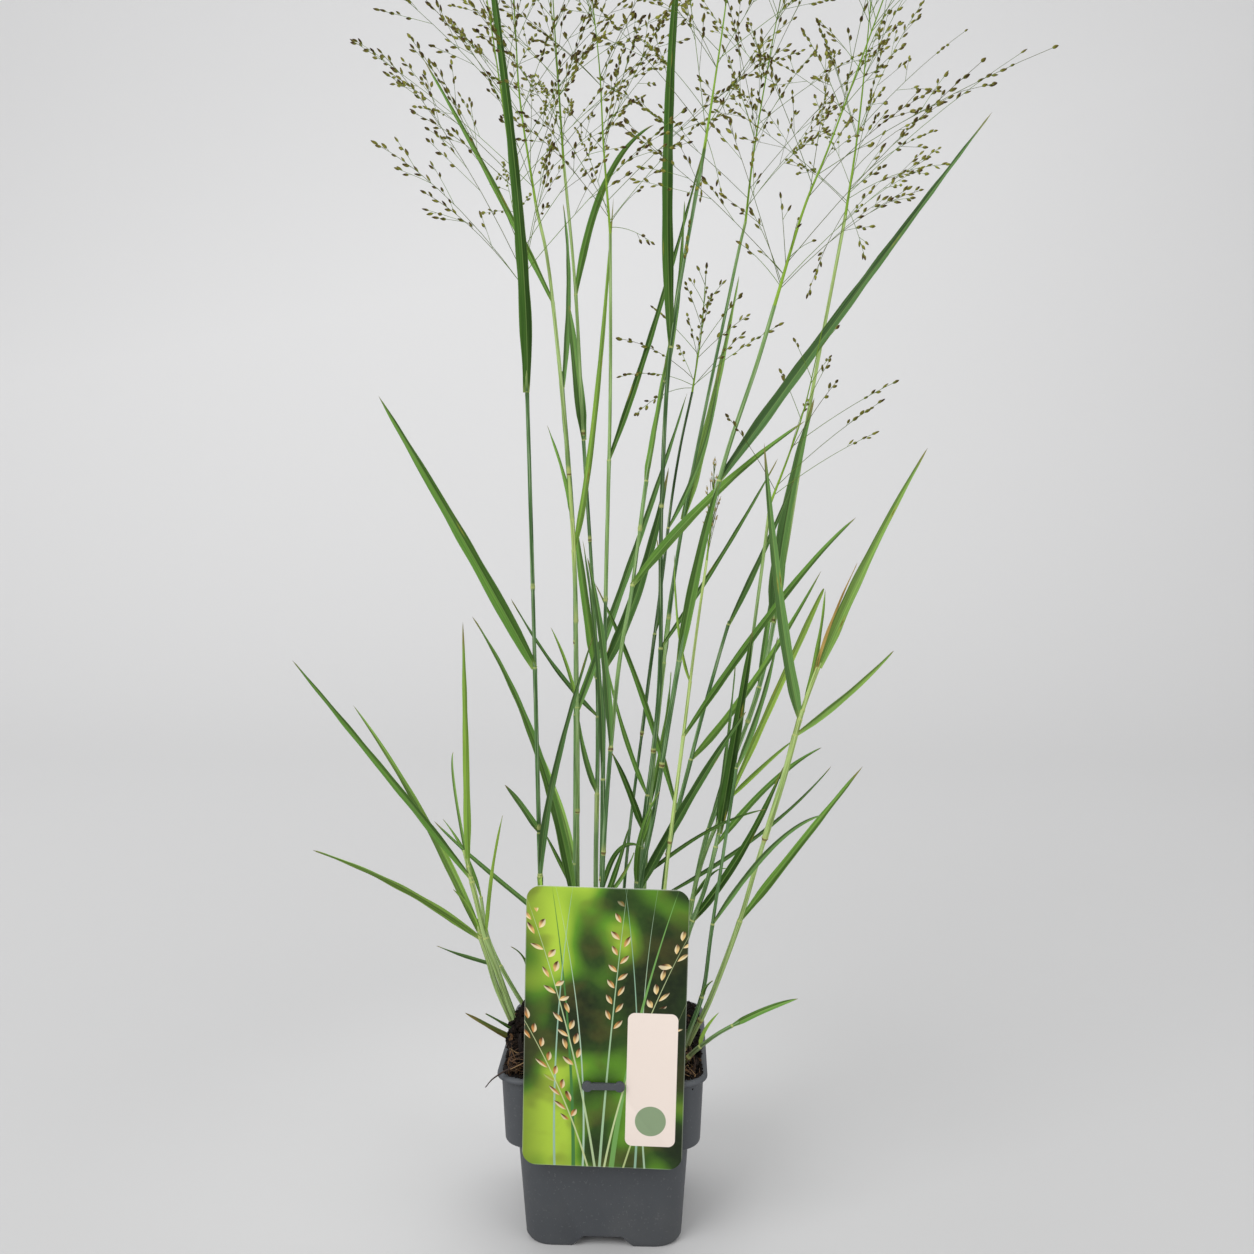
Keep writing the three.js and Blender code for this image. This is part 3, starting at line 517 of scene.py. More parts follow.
# A made-up picture: blurred green, arching pale stalks hung with tan seeds, and a cream panel with a sage disc.
def cardPrint():
    finish, shape = Finish("printed card", Roughness=0.32, Specular_IOR_Level=0.25), cardPicture
    fade, vector = finish.fade, finish.vector
    x, _, z = finish.parts(finish.place())
    turn, perMetre = math.radians(cardShape["turn"]), 1000
    level, rise = x - cardShape["aside"] * mm, z - cardShape["slotAt"] * mm
    across = (level * math.cos(turn) - rise * math.sin(turn)) * perMetre
    up = (level * math.sin(turn) + rise * math.cos(turn)) * perMetre + (cardShape["slotAt"] - cardShape["base"])
    flat = vector(across, up, 0)
    blur, soft = finish.noise(flat, 0.03, 1, 0.4), finish.noise(flat, 0.4, 2)
    glow = finish.noise(vector(across + 90, up * 0.8, 0), 0.05, 0)
    earth = finish.noise(vector(across - 50, up * 1.2, 7), 0.055, 2)
    shadow = fade(abs(up - 68), 34, 4)
    light = fade(blur * 0.9 + glow * 0.6 - across * 0.003 - shadow * 0.16, 0.5, 0.92)
    picture = finish.coat(
        finish.ramp(light, (0, 12, 22, 8), (0.28, 36, 64, 18), (0.6, 88, 138, 32), (1, 170, 200, 62)),
        (fade(earth, 0.5, 0.66) * 0.4, 84, 74, 34), (soft * 0.08, 140, 176, 80),
        (fade(abs(across), 20, 36) * 0.5, 20, 34, 18))

    def strand(ground, foot, lean, arch, width, top, color):
        middle = across - foot - up * lean - up * up * arch
        narrow = width * (1 - up / (top * 1.1)) * fade(up, top, top - 3)
        return finish.coat(ground, (fade(narrow - abs(middle), -0.14, 0.14), *color)), middle

    def hang(ground, middle, low, high, step, tan):  # seeds to each side of a strand by turns
        side = fade(middle, -0.01, 0.01)
        place = up / step + side * 0.5
        cell = place.maths("FLOOR")
        chance, other = (finish.noise(vector(cell * 3.7, low + side * 9, step * n), 1, 0) for n in (1, 2))
        along, aside = (place - cell + other * 0.7 - 0.85) * step, abs(middle) - 0.8 - chance * 3
        angle = other * 2.2 - 0.5
        cosine, sine = angle.maths("COSINE"), angle.maths("SINE")
        long, wide = (along * cosine + aside * sine) * 0.38, (aside * cosine - along * sine) * 0.95
        outline = fade((long * long + abs(wide)) * (1.6 - chance), 1.06, 0.94)
        shown = fade(chance, 0.4, 0.42) * (fade(up, low, low + 1) * fade(up, high, high - 1))
        body = finish.mix(fade(long + chance, 0.1, 1.3), seen(*tan), seen(72, 36, 14))
        body = finish.coat(body, (fade(wide + other, 0.3, 0.9) * 0.7, 240, 226, 186))
        return finish.mix(outline * shown, ground, body)

    for row in shape["strands"]:
        picture, _ = strand(picture, *row)
    for row, seeds in shape["seeded"]:
        picture, middle = strand(picture, *row)
        picture = hang(picture, middle, *seeds)
    (panelX, panelY), (halfX, halfY), corner = shape["panelAt"], shape["panelHalf"], shape["panelCorner"]
    outX = (abs(across - panelX) - halfX).maths("MAXIMUM", 0)
    outY = (abs(up - panelY) - halfY).maths("MAXIMUM", 0)
    panel = fade((outX * outX + outY * outY) ** 0.5, corner + 0.1, corner - 0.1)
    picture = finish.mix(panel, picture, finish.mix(soft * 0.2, seen(238, 224, 214), seen(230, 214, 202)))
    (discX, discY), radius = shape["discAt"], shape["discRadius"]
    fromX, fromY = across - discX, up - discY
    disc = fade((fromX * fromX + fromY * fromY) ** 0.5, radius + 0.1, radius - 0.1)
    halfCard = cardShape["height"] / 2
    edge = (cardShape["width"] / 2 - abs(across)).maths("MINIMUM", halfCard - abs(up - halfCard))
    picture = finish.coat(picture, (disc, 136, 156, 122), (fade(edge, 0.45, 0.25) * 0.25, 190, 196, 180))
    return finish.paint(Base_Color=picture)


def cardPlastic():
    finish = Finish("card back and edge", Roughness=0.45)
    shade = finish.noise(finish.place(), 60)
    return finish.paint(Base_Color=finish.mix(shade, seen(186, 188, 182), seen(202, 204, 198)))


card = makeCard()
card.data.materials.append(cardPrint())
card.data.materials.append(cardPlastic())
for face in card.data.polygons:
    face.material_index = 0 if face.normal.y < -0.3 else 1
dress(card, "card", "picture_card")
print("card:", len(card.data.polygons), "faces")


# Lines that things grow along, in millimetres

fullTurn, halfTurn = 6.28, 3.14  # near enough where a direction is drawn by chance


def seededRandom(seed):
    state = seed

    def draw():
        nonlocal state
        state = (state + 0x6D2B79F5) & 0xFFFFFFFF
        mixed = ((state ^ state >> 15) * (state | 1)) & 0xFFFFFFFF
        mixed ^= (mixed + (mixed ^ mixed >> 7) * (mixed | 61)) & 0xFFFFFFFF
        return (mixed ^ mixed >> 14) / 4294967296
    return draw


class Line:  # a curve, from share 0 to share 1
    def __init__(self, at):
        self.at = at
        self.shares = np.linspace(0, 1, 201)
        steps = np.linalg.norm(np.diff(at(self.shares), axis=0), axis=1)
        self.lengths = np.concatenate([[0], np.cumsum(steps)])
        self.length = self.lengths[-1]

    def heading(self, share):
        share = np.asarray(share, float)
        step = self.at(np.minimum(share + 1e-4, 1)) - self.at(np.maximum(share - 1e-4, 0))
        return unit(step)

    def reached(self, share):  # length up to a share
        return np.interp(share, self.shares, self.lengths)

    def even(self, part):  # the share at a part of the length
        return np.interp(np.asarray(part, float) * self.length, self.lengths, self.shares)

    def spaced(self, step):
        count = max(2, math.ceil(self.length / step))
        return self.at(self.even(np.linspace(0, 1, count + 1)))

    def atHeight(self, height):
        low, high = 0.0, 1.0
        for _ in range(30):
            middle = (low + high) / 2
            low, high = (middle, high) if self.at(middle)[2] < height else (low, middle)
        return low


def spline(points):
    knots = np.array(points, float)
    outer = np.vstack([2 * knots[0] - knots[1], knots, 2 * knots[-1] - knots[-2]])

    def at(share):
        place = np.asarray(share, float) * (len(knots) - 1)
        cell = np.minimum(place.astype(int), len(knots) - 2)
        w = (place - cell)[..., None]
        a, b, c, d = (outer[cell + n] for n in range(4))
        enter, leave = 0.5 * (c - a), 0.5 * (d - b)
        square, cube = 3 * c - 3 * b - 2 * enter - leave, 2 * b - 2 * c + enter + leave
        return b + enter * w + square * w ** 2 + cube * w ** 3
    return Line(at)


def arc(start, control, tip):
    start, control, tip = (np.array(p, float) for p in (start, control, tip))

    def at(share):
        w = np.asarray(share, float)[..., None]
        return start * (1 - w) ** 2 + 2 * control * w * (1 - w) + tip * w ** 2
    return Line(at)


def unit(vector):
    return vector / np.linalg.norm(vector, axis=-1, keepdims=True)


def crossFrame(headings):  # two directions square to each heading
    flat = np.abs(headings[..., 1:2]) > 0.93
    aside = np.where(flat, np.array([0.0, 0, 1]), np.array([0.0, 1, 0]))
    side = unit(np.cross(headings, aside))
    return side, np.cross(headings, side)


def hump(along, middle, width, power=2):
    return np.exp(-((along - middle) / width) ** power)


# Blanks: each thing that repeats is modelled once, then copied along its own line

def takeBlank(piece):
    leaveEdit()
    points = np.array([v.co[:] for v in piece.data.vertices])
    faces = [tuple(face.vertices) for face in piece.data.polygons]
    bpy.data.objects.remove(piece)
    return points, faces


def rodBlank(sides, rings):  # a unit rod from height 0 to 1
    deselect()
    bpy.ops.mesh.primitive_cylinder_add(vertices=sides, radius=1, depth=1, location=(0, 0, 0.5))
    rod = settle(added("rod"))
    if rings > 2:
        pick(rod, "EDGE", lambda a, b: abs(a.z - b.z) > 0.5)
        bpy.ops.mesh.subdivide(number_cuts=rings - 2)
    return takeBlank(rod)


def bladeBlank(columns, rows):  # a flat strip, two layers thick, closed to a point at its tip
    deselect()
    bpy.ops.mesh.primitive_grid_add(x_subdivisions=columns, y_subdivisions=rows, size=2)
    blade = added("blade")
    pick(blade, "FACE")
    bpy.ops.transform.resize(value=(1, 0.5, 1))
    bpy.ops.transform.translate(value=(0, 0.5, 0))
    modify(blade, "SOLIDIFY", thickness=2, offset=0)
    pick(blade, "VERT", lambda at: at.y > 0.999)
    bpy.ops.mesh.merge(type="CENTER")
    turnOutward()
    return takeBlank(blade)


def turnedBlank(sides, profile):  # a pointed body from height 0 to 1, drawn up ring by ring
    radius, height = profile[0]
    deselect()
    bpy.ops.mesh.primitive_circle_add(vertices=sides, radius=radius, fill_type="NGON", location=(0, 0, height))
    body = settle(added("body"))
    pick(body, "FACE")
    drawUp(profile)
    bpy.ops.mesh.merge(type="CENTER")
    turnOutward()
    return takeBlank(body)


def lumpBlank(detail):
    deselect()
    bpy.ops.mesh.primitive_ico_sphere_add(subdivisions=detail, radius=1)
    return takeBlank(added("lump"))


def layRod(blank, line, shares, radii, **marks):  # shares, radii and marks may change ring by ring
    points, faces = blank
    ring = np.round(points[:, 2] * (len(shares) - 1)).astype(int)
    middle, heading = line.at(shares), line.heading(shares)
    side, back = crossFrame(heading)
    radius = np.asarray(radii)[ring][:, None]
    placed = middle[ring] + radius * (side[ring] * points[:, 0:1] + back[ring] * points[:, 1:2])
    turn = np.arctan2(points[:, 1], points[:, 0])
    lay = np.stack([turn * radius[:, 0], line.reached(shares)[ring], np.asarray(shares)[ring]], axis=1)
    marks = {mark: values[ring] if np.ndim(values) else values for mark, values in marks.items()}
    return {"points": placed, "faces": faces, "lay": lay} | marks


bladeShape = {
    "wave": 0.05, "waveStep": 0.21, "channel": 0.3, "footChannel": 0.7, "footReach": 7, "sunk": 0.12,
    "ripple": 0.12, "rippleStep": 0.33, "halfThickness": 0.13, "edgeThinning": 0.45,
    "keel": 0.16, "keelHalf": 0.3, "keelThinning": 0.6, "slimBy": 0.625,
}


def bladeAcross(blade, heading, share):  # from edge to edge of a blade that rolls and twists along its line
    across = unit(np.cross(heading, np.array([0.0, -1, 0])))
    roll = (blade["roll"] + blade["twist"] * share)[:, None]
    return across * np.cos(roll) + np.cross(across, heading) * np.sin(roll)


def layBlade(blank, line, blade):  # bends a copy of the strip along a line, as a thin channelled leaf
    points, faces = blank
    shape = bladeShape
    x, share, layer = points.T
    fromMiddle = np.abs(x)
    heading, along = line.heading(share), line.reached(share)
    across = bladeAcross(blade, heading, share)
    taper = np.minimum(1, 0.45 + 3.5 * share) * np.maximum(0, 1 - share ** 2.2) ** 0.7
    half = blade["width"] / 2 * taper * (1 + shape["wave"] * np.sin(along * shape["waveStep"] + blade["roll"] * 9))
    half *= 1 - blade.get("slim", 0) * np.minimum(1, share / shape["slimBy"])
    channel = blade.get("channel", shape["channel"]) + shape["footChannel"] * np.exp(-along / shape["footReach"])
    ripple = shape["ripple"] * np.sin(along * shape["rippleStep"] + 2 * x + blade["twist"] * 5)
    lift = channel * half * fromMiddle ** 1.25 - shape["sunk"] + ripple * fromMiddle
    thickness = shape["halfThickness"] * (1 - shape["edgeThinning"] * fromMiddle)
    keel = np.where(layer < 0, shape["keel"] * hump(x * half, 0, shape["keelHalf"]), 0)
    offset = lift + np.sign(layer) * thickness - keel * (1 - shape["keelThinning"] * share)
    offset = np.where(share > 0.999, 0, offset)
    upper = np.cross(across, heading)
    placed = line.at(share) + across * (x * half)[:, None] + upper * offset[:, None]
    return {"points": placed, "faces": faces, "lay": np.stack([x * half, along, share], axis=1), "rim": fromMiddle}


def weave(name, parts, finishes, smoothTo):  # one mesh from many laid copies
    points, faces, slots, start = [], [], [], 0
    marks = {mark: [] for mark in ("lay", "tone", "chance", "dry", "rim")}
    for part in parts:
        count = len(part["points"])
        points.append(part["points"])
        faces.extend(tuple(n + start for n in face) for face in part["faces"])
        slots.extend([part.get("finish", 0)] * len(part["faces"]))
        for mark, values in marks.items():
            values.append(np.broadcast_to(part.get(mark, 0.0), (count, 3) if mark == "lay" else count))
        start += count
    mesh = bpy.data.meshes.new(name)
    mesh.from_pydata((np.concatenate(points) * mm).tolist(), [], faces)
    for mark, values in marks.items():
        kind, field = ("FLOAT_VECTOR", "vector") if mark == "lay" else ("FLOAT", "value")
        flat = np.concatenate(values).astype(np.float32).ravel()
        mesh.attributes.new(mark, kind, "POINT").data.foreach_set(field, flat)
    for finish in finishes:
        mesh.materials.append(finish)
    mesh.polygons.foreach_set("material_index", slots)
    piece = bpy.data.objects.new(name, mesh)
    bpy.context.scene.collection.objects.link(piece)
    return smooth(piece, smoothTo)


# Soil

soilShape = {
    "edge": 76, "dome": 8, "reach": 41.9, "half": 41.2, "corner": 8.3, "cells": 120, "roughness": 0.9,
    "below": [(40.9, 73), (40.1, 50.2), (35.3, 49), (32.6, 6.8)],
    "crumbs": 1100, "bank": 1100, "rim": 2000, "fibres": 560, "curls": 16, "stubs": 70, "hairRings": 12,
    "bankFrom": -39.4, "bankRight": 40.2, "bankBack": 39.8, "rimHalf": 41, "fibreHalf": 39.5,
    "heapAt": (-37, -21, 81), "heapHalf": (4.8, 13, 18), "heapRough": (0.8, 3, 3.4), "heapNoise": (0, 31, 67),
    "overLip": 80.8, "lipInside": -40.2, "lipOutside": -44,
    "strands": [  # points, radius and tone
        ([(-34, -36, 83), (-40, -41, 82.8), (-43.8, -44, 81.6), (-46.4, -44.4, 79.6), (-48.8, -44, 76.4)], 0.5, 0.2),
        ([(-30, -37, 86), (-36, -40, 84), (-40.5, -40.4, 82)], 0.3, 0.9),
        ([(36, -36, 78), (41, -37, 80.6), (41.6, -33, 81.2)], 0.3, 0.6)],
}


def soilHeight(x, y):
    shape = soilShape
    middle = 1 - min(1, (x * x + y * y) / shape["reach"] ** 2)
    lumps = math.sin(x * 0.41 + 1) * math.cos(y * 0.37) + math.sin(x * 0.23 - y * 0.29 + 2)
    return shape["edge"] + shape["dome"] * middle + shape["roughness"] * lumps


def soilTop(x, y):  # with its crumble, and sunk a little along the rim
    at = Vector((x, y, 0))
    crumble = noise.noise(at * 0.16) * 1.6 + noise.noise(at * 0.42) * 1.2 + abs(noise.noise(at * 0.95)) * 1.1
    edge = max(abs(x), abs(y)) / soilShape["half"]
    return soilHeight(x, y) + crumble - 0.4 - 5 * max(0, edge - 0.9)


def roundSquare(x, y):  # carries a square's rings to squares with round corners
    reach = max(abs(x), abs(y))
    if reach < 1e-9:
        return x, y
    straight = 1 - soilShape["corner"] / soilShape["half"]
    along = (y if abs(x) >= abs(y) else x) / reach
    if abs(along) <= straight:
        return x, y
    angle = (abs(along) - straight) / (1 - straight) * math.pi / 4
    outer = reach * (straight + (1 - straight) * math.cos(angle))
    inner = math.copysign(reach * (straight + (1 - straight) * math.sin(angle)), along)
    return (math.copysign(outer, x), inner) if abs(x) >= abs(y) else (inner, math.copysign(outer, y))


def makeSoil():
    shape = soilShape
    deselect()
    bpy.ops.mesh.primitive_grid_add(
        x_subdivisions=shape["cells"], y_subdivisions=shape["cells"], size=2 * shape["half"] * mm)
    soil = added("peat_soil")
    for vertex in soil.data.vertices:
        x, y = roundSquare(vertex.co.x / mm, vertex.co.y / mm)
        vertex.co = (x * mm, y * mm, soilTop(x, y) * mm)
    bpy.ops.object.mode_set(mode="EDIT")
    bpy.ops.mesh.select_all(action="DESELECT")
    bpy.ops.mesh.select_mode(type="EDGE")
    bpy.ops.mesh.select_non_manifold()
    half = shape["half"]
    for nextHalf, height in shape["below"]:  # flattens the rim at each height
        extrude(0, 0, 0)
        share = nextHalf / half
        bpy.ops.transform.resize(value=(share, share, 0), center_override=(0, 0, height * mm))
        half = nextHalf
    bpy.ops.mesh.edge_face_add()
    turnOutward()
    bpy.ops.object.shade_smooth()
    return soil


def peatFinish():
    finish = Finish("peat", Specular_IOR_Level=0.15)
    place = finish.place()
    clumps, crumbs = finish.noise(place, 210, 4, 0.65), finish.cells(place, 620)
    stretched = finish.add("VectorMath", {"operation": "MULTIPLY"}, {0: place, 1: (900, 260, 500)})
    threads = finish.noise(stretched, detail=3)
    chips, _, _ = finish.parts(finish.cells(place, 480, "Color"))
    body = finish.coat(
        finish.ramp(clumps, (0.28, 11, 8, 7), (0.52, 20, 15, 12), (0.75, 40, 29, 21)),
        (finish.fade(threads, 0.6, 0.72) * 0.3, 88, 60, 40), (finish.fade(chips, 0.94, 0.97) * 0.4, 126, 92, 60))
    return finish.paint(
        Base_Color=body, Roughness=0.85 + clumps * 0.15,
        Normal=finish.bump(clumps + crumbs * 0.6 + threads * 0.3, 0.0012, 0.8))


def rootFinish():  # dead roots and stubs: dark wet peat brown to dry tan by tone
    finish = Finish("dead root", Roughness=0.8)
    _, along, _ = finish.lay()
    tone, = finish.marks("tone")
    grain = finish.noise(finish.vector(along * 0.25, tone * 30, 0), detail=3)
    body = finish.ramp(tone, (0, 24, 17, 13), (0.5, 70, 46, 30), (0.82, 132, 98, 62), (1, 180, 152, 106))
    return finish.paint(
        Base_Color=finish.coat(body, (grain * 0.5, 40, 28, 20)), Normal=finish.bump(grain, 0.0002))


crumbs, threads = [], []
lump, strip, hair = lumpBlank(1), bladeBlank(4, 10), rodBlank(4, soilShape["hairRings"])
unevenness = np.random.default_rng(31)


def crumb(at, size, uneven=0.6, spin=0.0):  # a lump with its corners pushed in and out
    points, faces = lump
    points = points * (1 - uneven / 2 + uneven * unevenness.random((len(points), 1))) * size
    x, y, z = points.T
    cosine, sine = math.cos(spin), math.sin(spin)
    turned = np.stack([x * cosine - y * sine, x * sine + y * cosine, z], axis=1)
    crumbs.append({"points": turned + at, "faces": faces})


def thread(points, radius, tone, thinning=0.6):
    along = np.linspace(0, 1, soilShape["hairRings"])
    threads.append(layRod(hair, spline(points), along, radius * (1 - thinning * along), tone=tone))


def looseCrumbs(random):
    for _ in range(soilShape["crumbs"]):
        x, y = roundSquare((random() * 2 - 1) * 40, (random() * 2 - 1) * 40)
        size = 0.5 + 1.5 * random() ** 2.5
        stretch = np.array([0.7 + 0.9 * random(), 0.7 + 0.6 * random(), 0.5 + 0.5 * random()])
        crumb((x, y, soilTop(x, y) + 0.2 * size), stretch * size, 0.5, random() * fullTurn)


def roughness(point):  # three noises far apart, the same on each run
    return [noise.noise(Vector(point * 0.3 + shift)) for shift in soilShape["heapNoise"]]


def raggedHeap(random):  # stands over the lip on the left, with crumbs all over it
    shape = soilShape
    points, faces = lumpBlank(4)
    points *= shape["heapHalf"]
    points += np.array([roughness(point) for point in points]) * shape["heapRough"] + shape["heapAt"]
    over = points[:, 2] > shape["overLip"]
    points[:, 0] = np.maximum(points[:, 0], np.where(over, shape["lipOutside"], shape["lipInside"]))
    crumbs.append({"points": points, "faces": faces})
    for point in points[over][::2]:
        crumb(point, 0.5 + 1.3 * random() ** 2, 0.8)
        crumbs[-1]["points"] += unevenness.random(3) * 1.2 - 0.6


def bankedCrumbs(random):  # against the left front of the rim, and along it on the right and behind
    shape = soilShape
    for n in range(shape["bank"]):
        left, behind = n % 5 < 3, n % 5 == 4
        share = random()
        if left:
            x, y = -41 + 9 * random(), -37 + 30 * share
            rise = (5 + (x + 41) * 3.4 - abs(y + 24)) * random() ** 0.6
        else:
            x, y = 35 + 5.5 * random(), -36 + 72 * share
            rise = 1.5 + 5 * random()
        if behind:
            x, y = y, x
        low = shape["bankFrom"]
        x, y = roundSquare(max(low, min(shape["bankRight"], x)), max(low, min(shape["bankBack"], y)))
        crumb((x, y, soilTop(x, y) + max(0, rise)), 0.8 + (1.9 if left else 1.2) * random())


def rimCrumbs(random):  # packed against the lip, and smaller ones on it
    half = soilShape["rimHalf"]
    for n in range(soilShape["rim"]):
        along = (random() * 2 - 1) * half
        x, y = roundSquare(*((along, half), (along, -half), (half, along), (-half, along))[n % 4])
        size, out, high = 0.5 + 0.9 * random() ** 1.5, random(), random()
        outward = 0.985 + 0.05 * out
        z = 75.5 + 4.2 * high ** 0.8 if out < 0.6 else 79.7 + 0.5 * high
        crumb((x * outward, y * outward, z), size if out < 0.6 else size * 0.7)


def deadRoots(random):  # every second one over the banks at the left and right front
    half = soilShape["fibreHalf"]
    for n in range(soilShape["fibres"]):
        x, y = roundSquare((random() * 2 - 1) * 38, (random() * 2 - 1) * 38)
        banked = n % 2 == 0
        if banked:
            x, y = (-1 if n % 5 > 1 else 1) * (31 + 8 * random()), -38 + 36 * random() ** 1.4
        turn, length, bow = random() * fullTurn, 4 + 18 * random() ** 2, (random() - 0.5) * 2.2
        reach = np.array([math.cos(turn), math.sin(turn)]) * length
        across = np.array([-reach[1], reach[0]]) * bow
        raised = 1.5 + (12 if x < 0 else 6) * random() if banked else 0
        points = []
        for share in (0, 0.3, 0.7, 1):
            px, py = np.clip((x, y) + reach * share + across * share * (1 - share) * 2, -half, half)
            lift = 0.25 + raised * (0.7 + 0.5 * random()) + 3 * random() * (share > 0)
            points.append((px, py, soilTop(px, py) + lift))
        thread(points, 0.1 + 0.26 * random() ** 2, random() ** 0.7, 0.7)


def rootCurls(random):  # over the left front corner
    edge = soilShape["lipInside"]
    for _ in range(soilShape["curls"]):
        x, y, z, size = -38 + 6 * random(), -40 + 8 * random(), 80 + 5 * random(), 2 + 4 * random()
        turn = random() * fullTurn
        points = []
        for n in range(4):
            px, py = x + size * math.cos(turn + n * 0.9), y + 0.5 * size * math.sin(turn + n * 0.9)
            points.append((max(edge, px), max(edge, py), z + size * 0.7 * math.sin(n * 0.8 + turn * 2)))
        thread(points, 0.1 + 0.2 * random() ** 2, 0.35 + 0.55 * random(), 0.5)


def leafStubs(random):
    for n in range(soilShape["stubs"]):
        left = n % 5 > 1
        x = (-39.5 if left else 32.5) + 7 * random()
        y = -37 + 34 * random() ** 1.3
        base = soilTop(x, y) + ((x + 40) * 2.2 if left else 2) * random()
        height = 3 + 8 * random() ** 1.5
        tip = (x - 5 + 8 * random(), y - 4 + 8 * random(), base + height)
        bend = ((x + tip[0]) / 2 + 4 * (random() - 0.5), (y + tip[1]) / 2, base + height * 0.7)
        stub = {"width": 1 + 1.8 * random(), "roll": random() * 3, "twist": 3 * random(), "channel": 0.8}
        threads.append(layBlade(strip, arc((x, y, base - 3), bend, tip), stub) | {"tone": 0.9 * random() ** 2})


def scatterSoil(peat):
    random = seededRandom(31)
    for scatter in (looseCrumbs, raggedHeap, bankedCrumbs, rimCrumbs, deadRoots, rootCurls):
        scatter(random)
    for strand in soilShape["strands"]:
        thread(*strand)
    leafStubs(random)
    return weave("peat_crumbs", crumbs, [peat], 30), weave("dead_roots", threads, [rootFinish()], 60)


peat, soil = peatFinish(), makeSoil()
soil.data.materials.append(peat)
dress(soil, "soil", "soil")
for piece in scatterSoil(peat):
    dress(piece, "soil")
print("soil:", len(soil.data.polygons), "faces, with", len(crumbs), "crumbs and", len(threads), "dead roots")


# The clump: a stem is the line of its culm, with leaves (height, bend, tip, width, tone) and perhaps a spray

clump = {
    "stemFoot": 66, "gap": 0.3, "clearance": 3, "swingStep": 6, "pointStep": 2.5, "culmRings": 120, "culmSides": 10,
    "bladeColumns": 8, "bladeRows": 40, "bendDepth": 0.42, "roll": 1.1, "twist": 1.6,
    "extraTurn": (0.3, 0.8), "tones": {"dark": 0.1, "mid": 0.36, "light": 0.68, "bright": 0.95},
}
stemFoot = clump["stemFoot"]
usualSpray = {"reach": 100, "spread": 1, "bare": 0, "perWhorl": 2, "size": 1, "pale": 0, "arches": []}


def leaf(at, bend, tip, width, tone, dry=0.0, **rest):
    return {"at": at, "bend": bend, "tip": tip, "width": width, "tone": clump["tones"][tone], "dry": dry} | rest


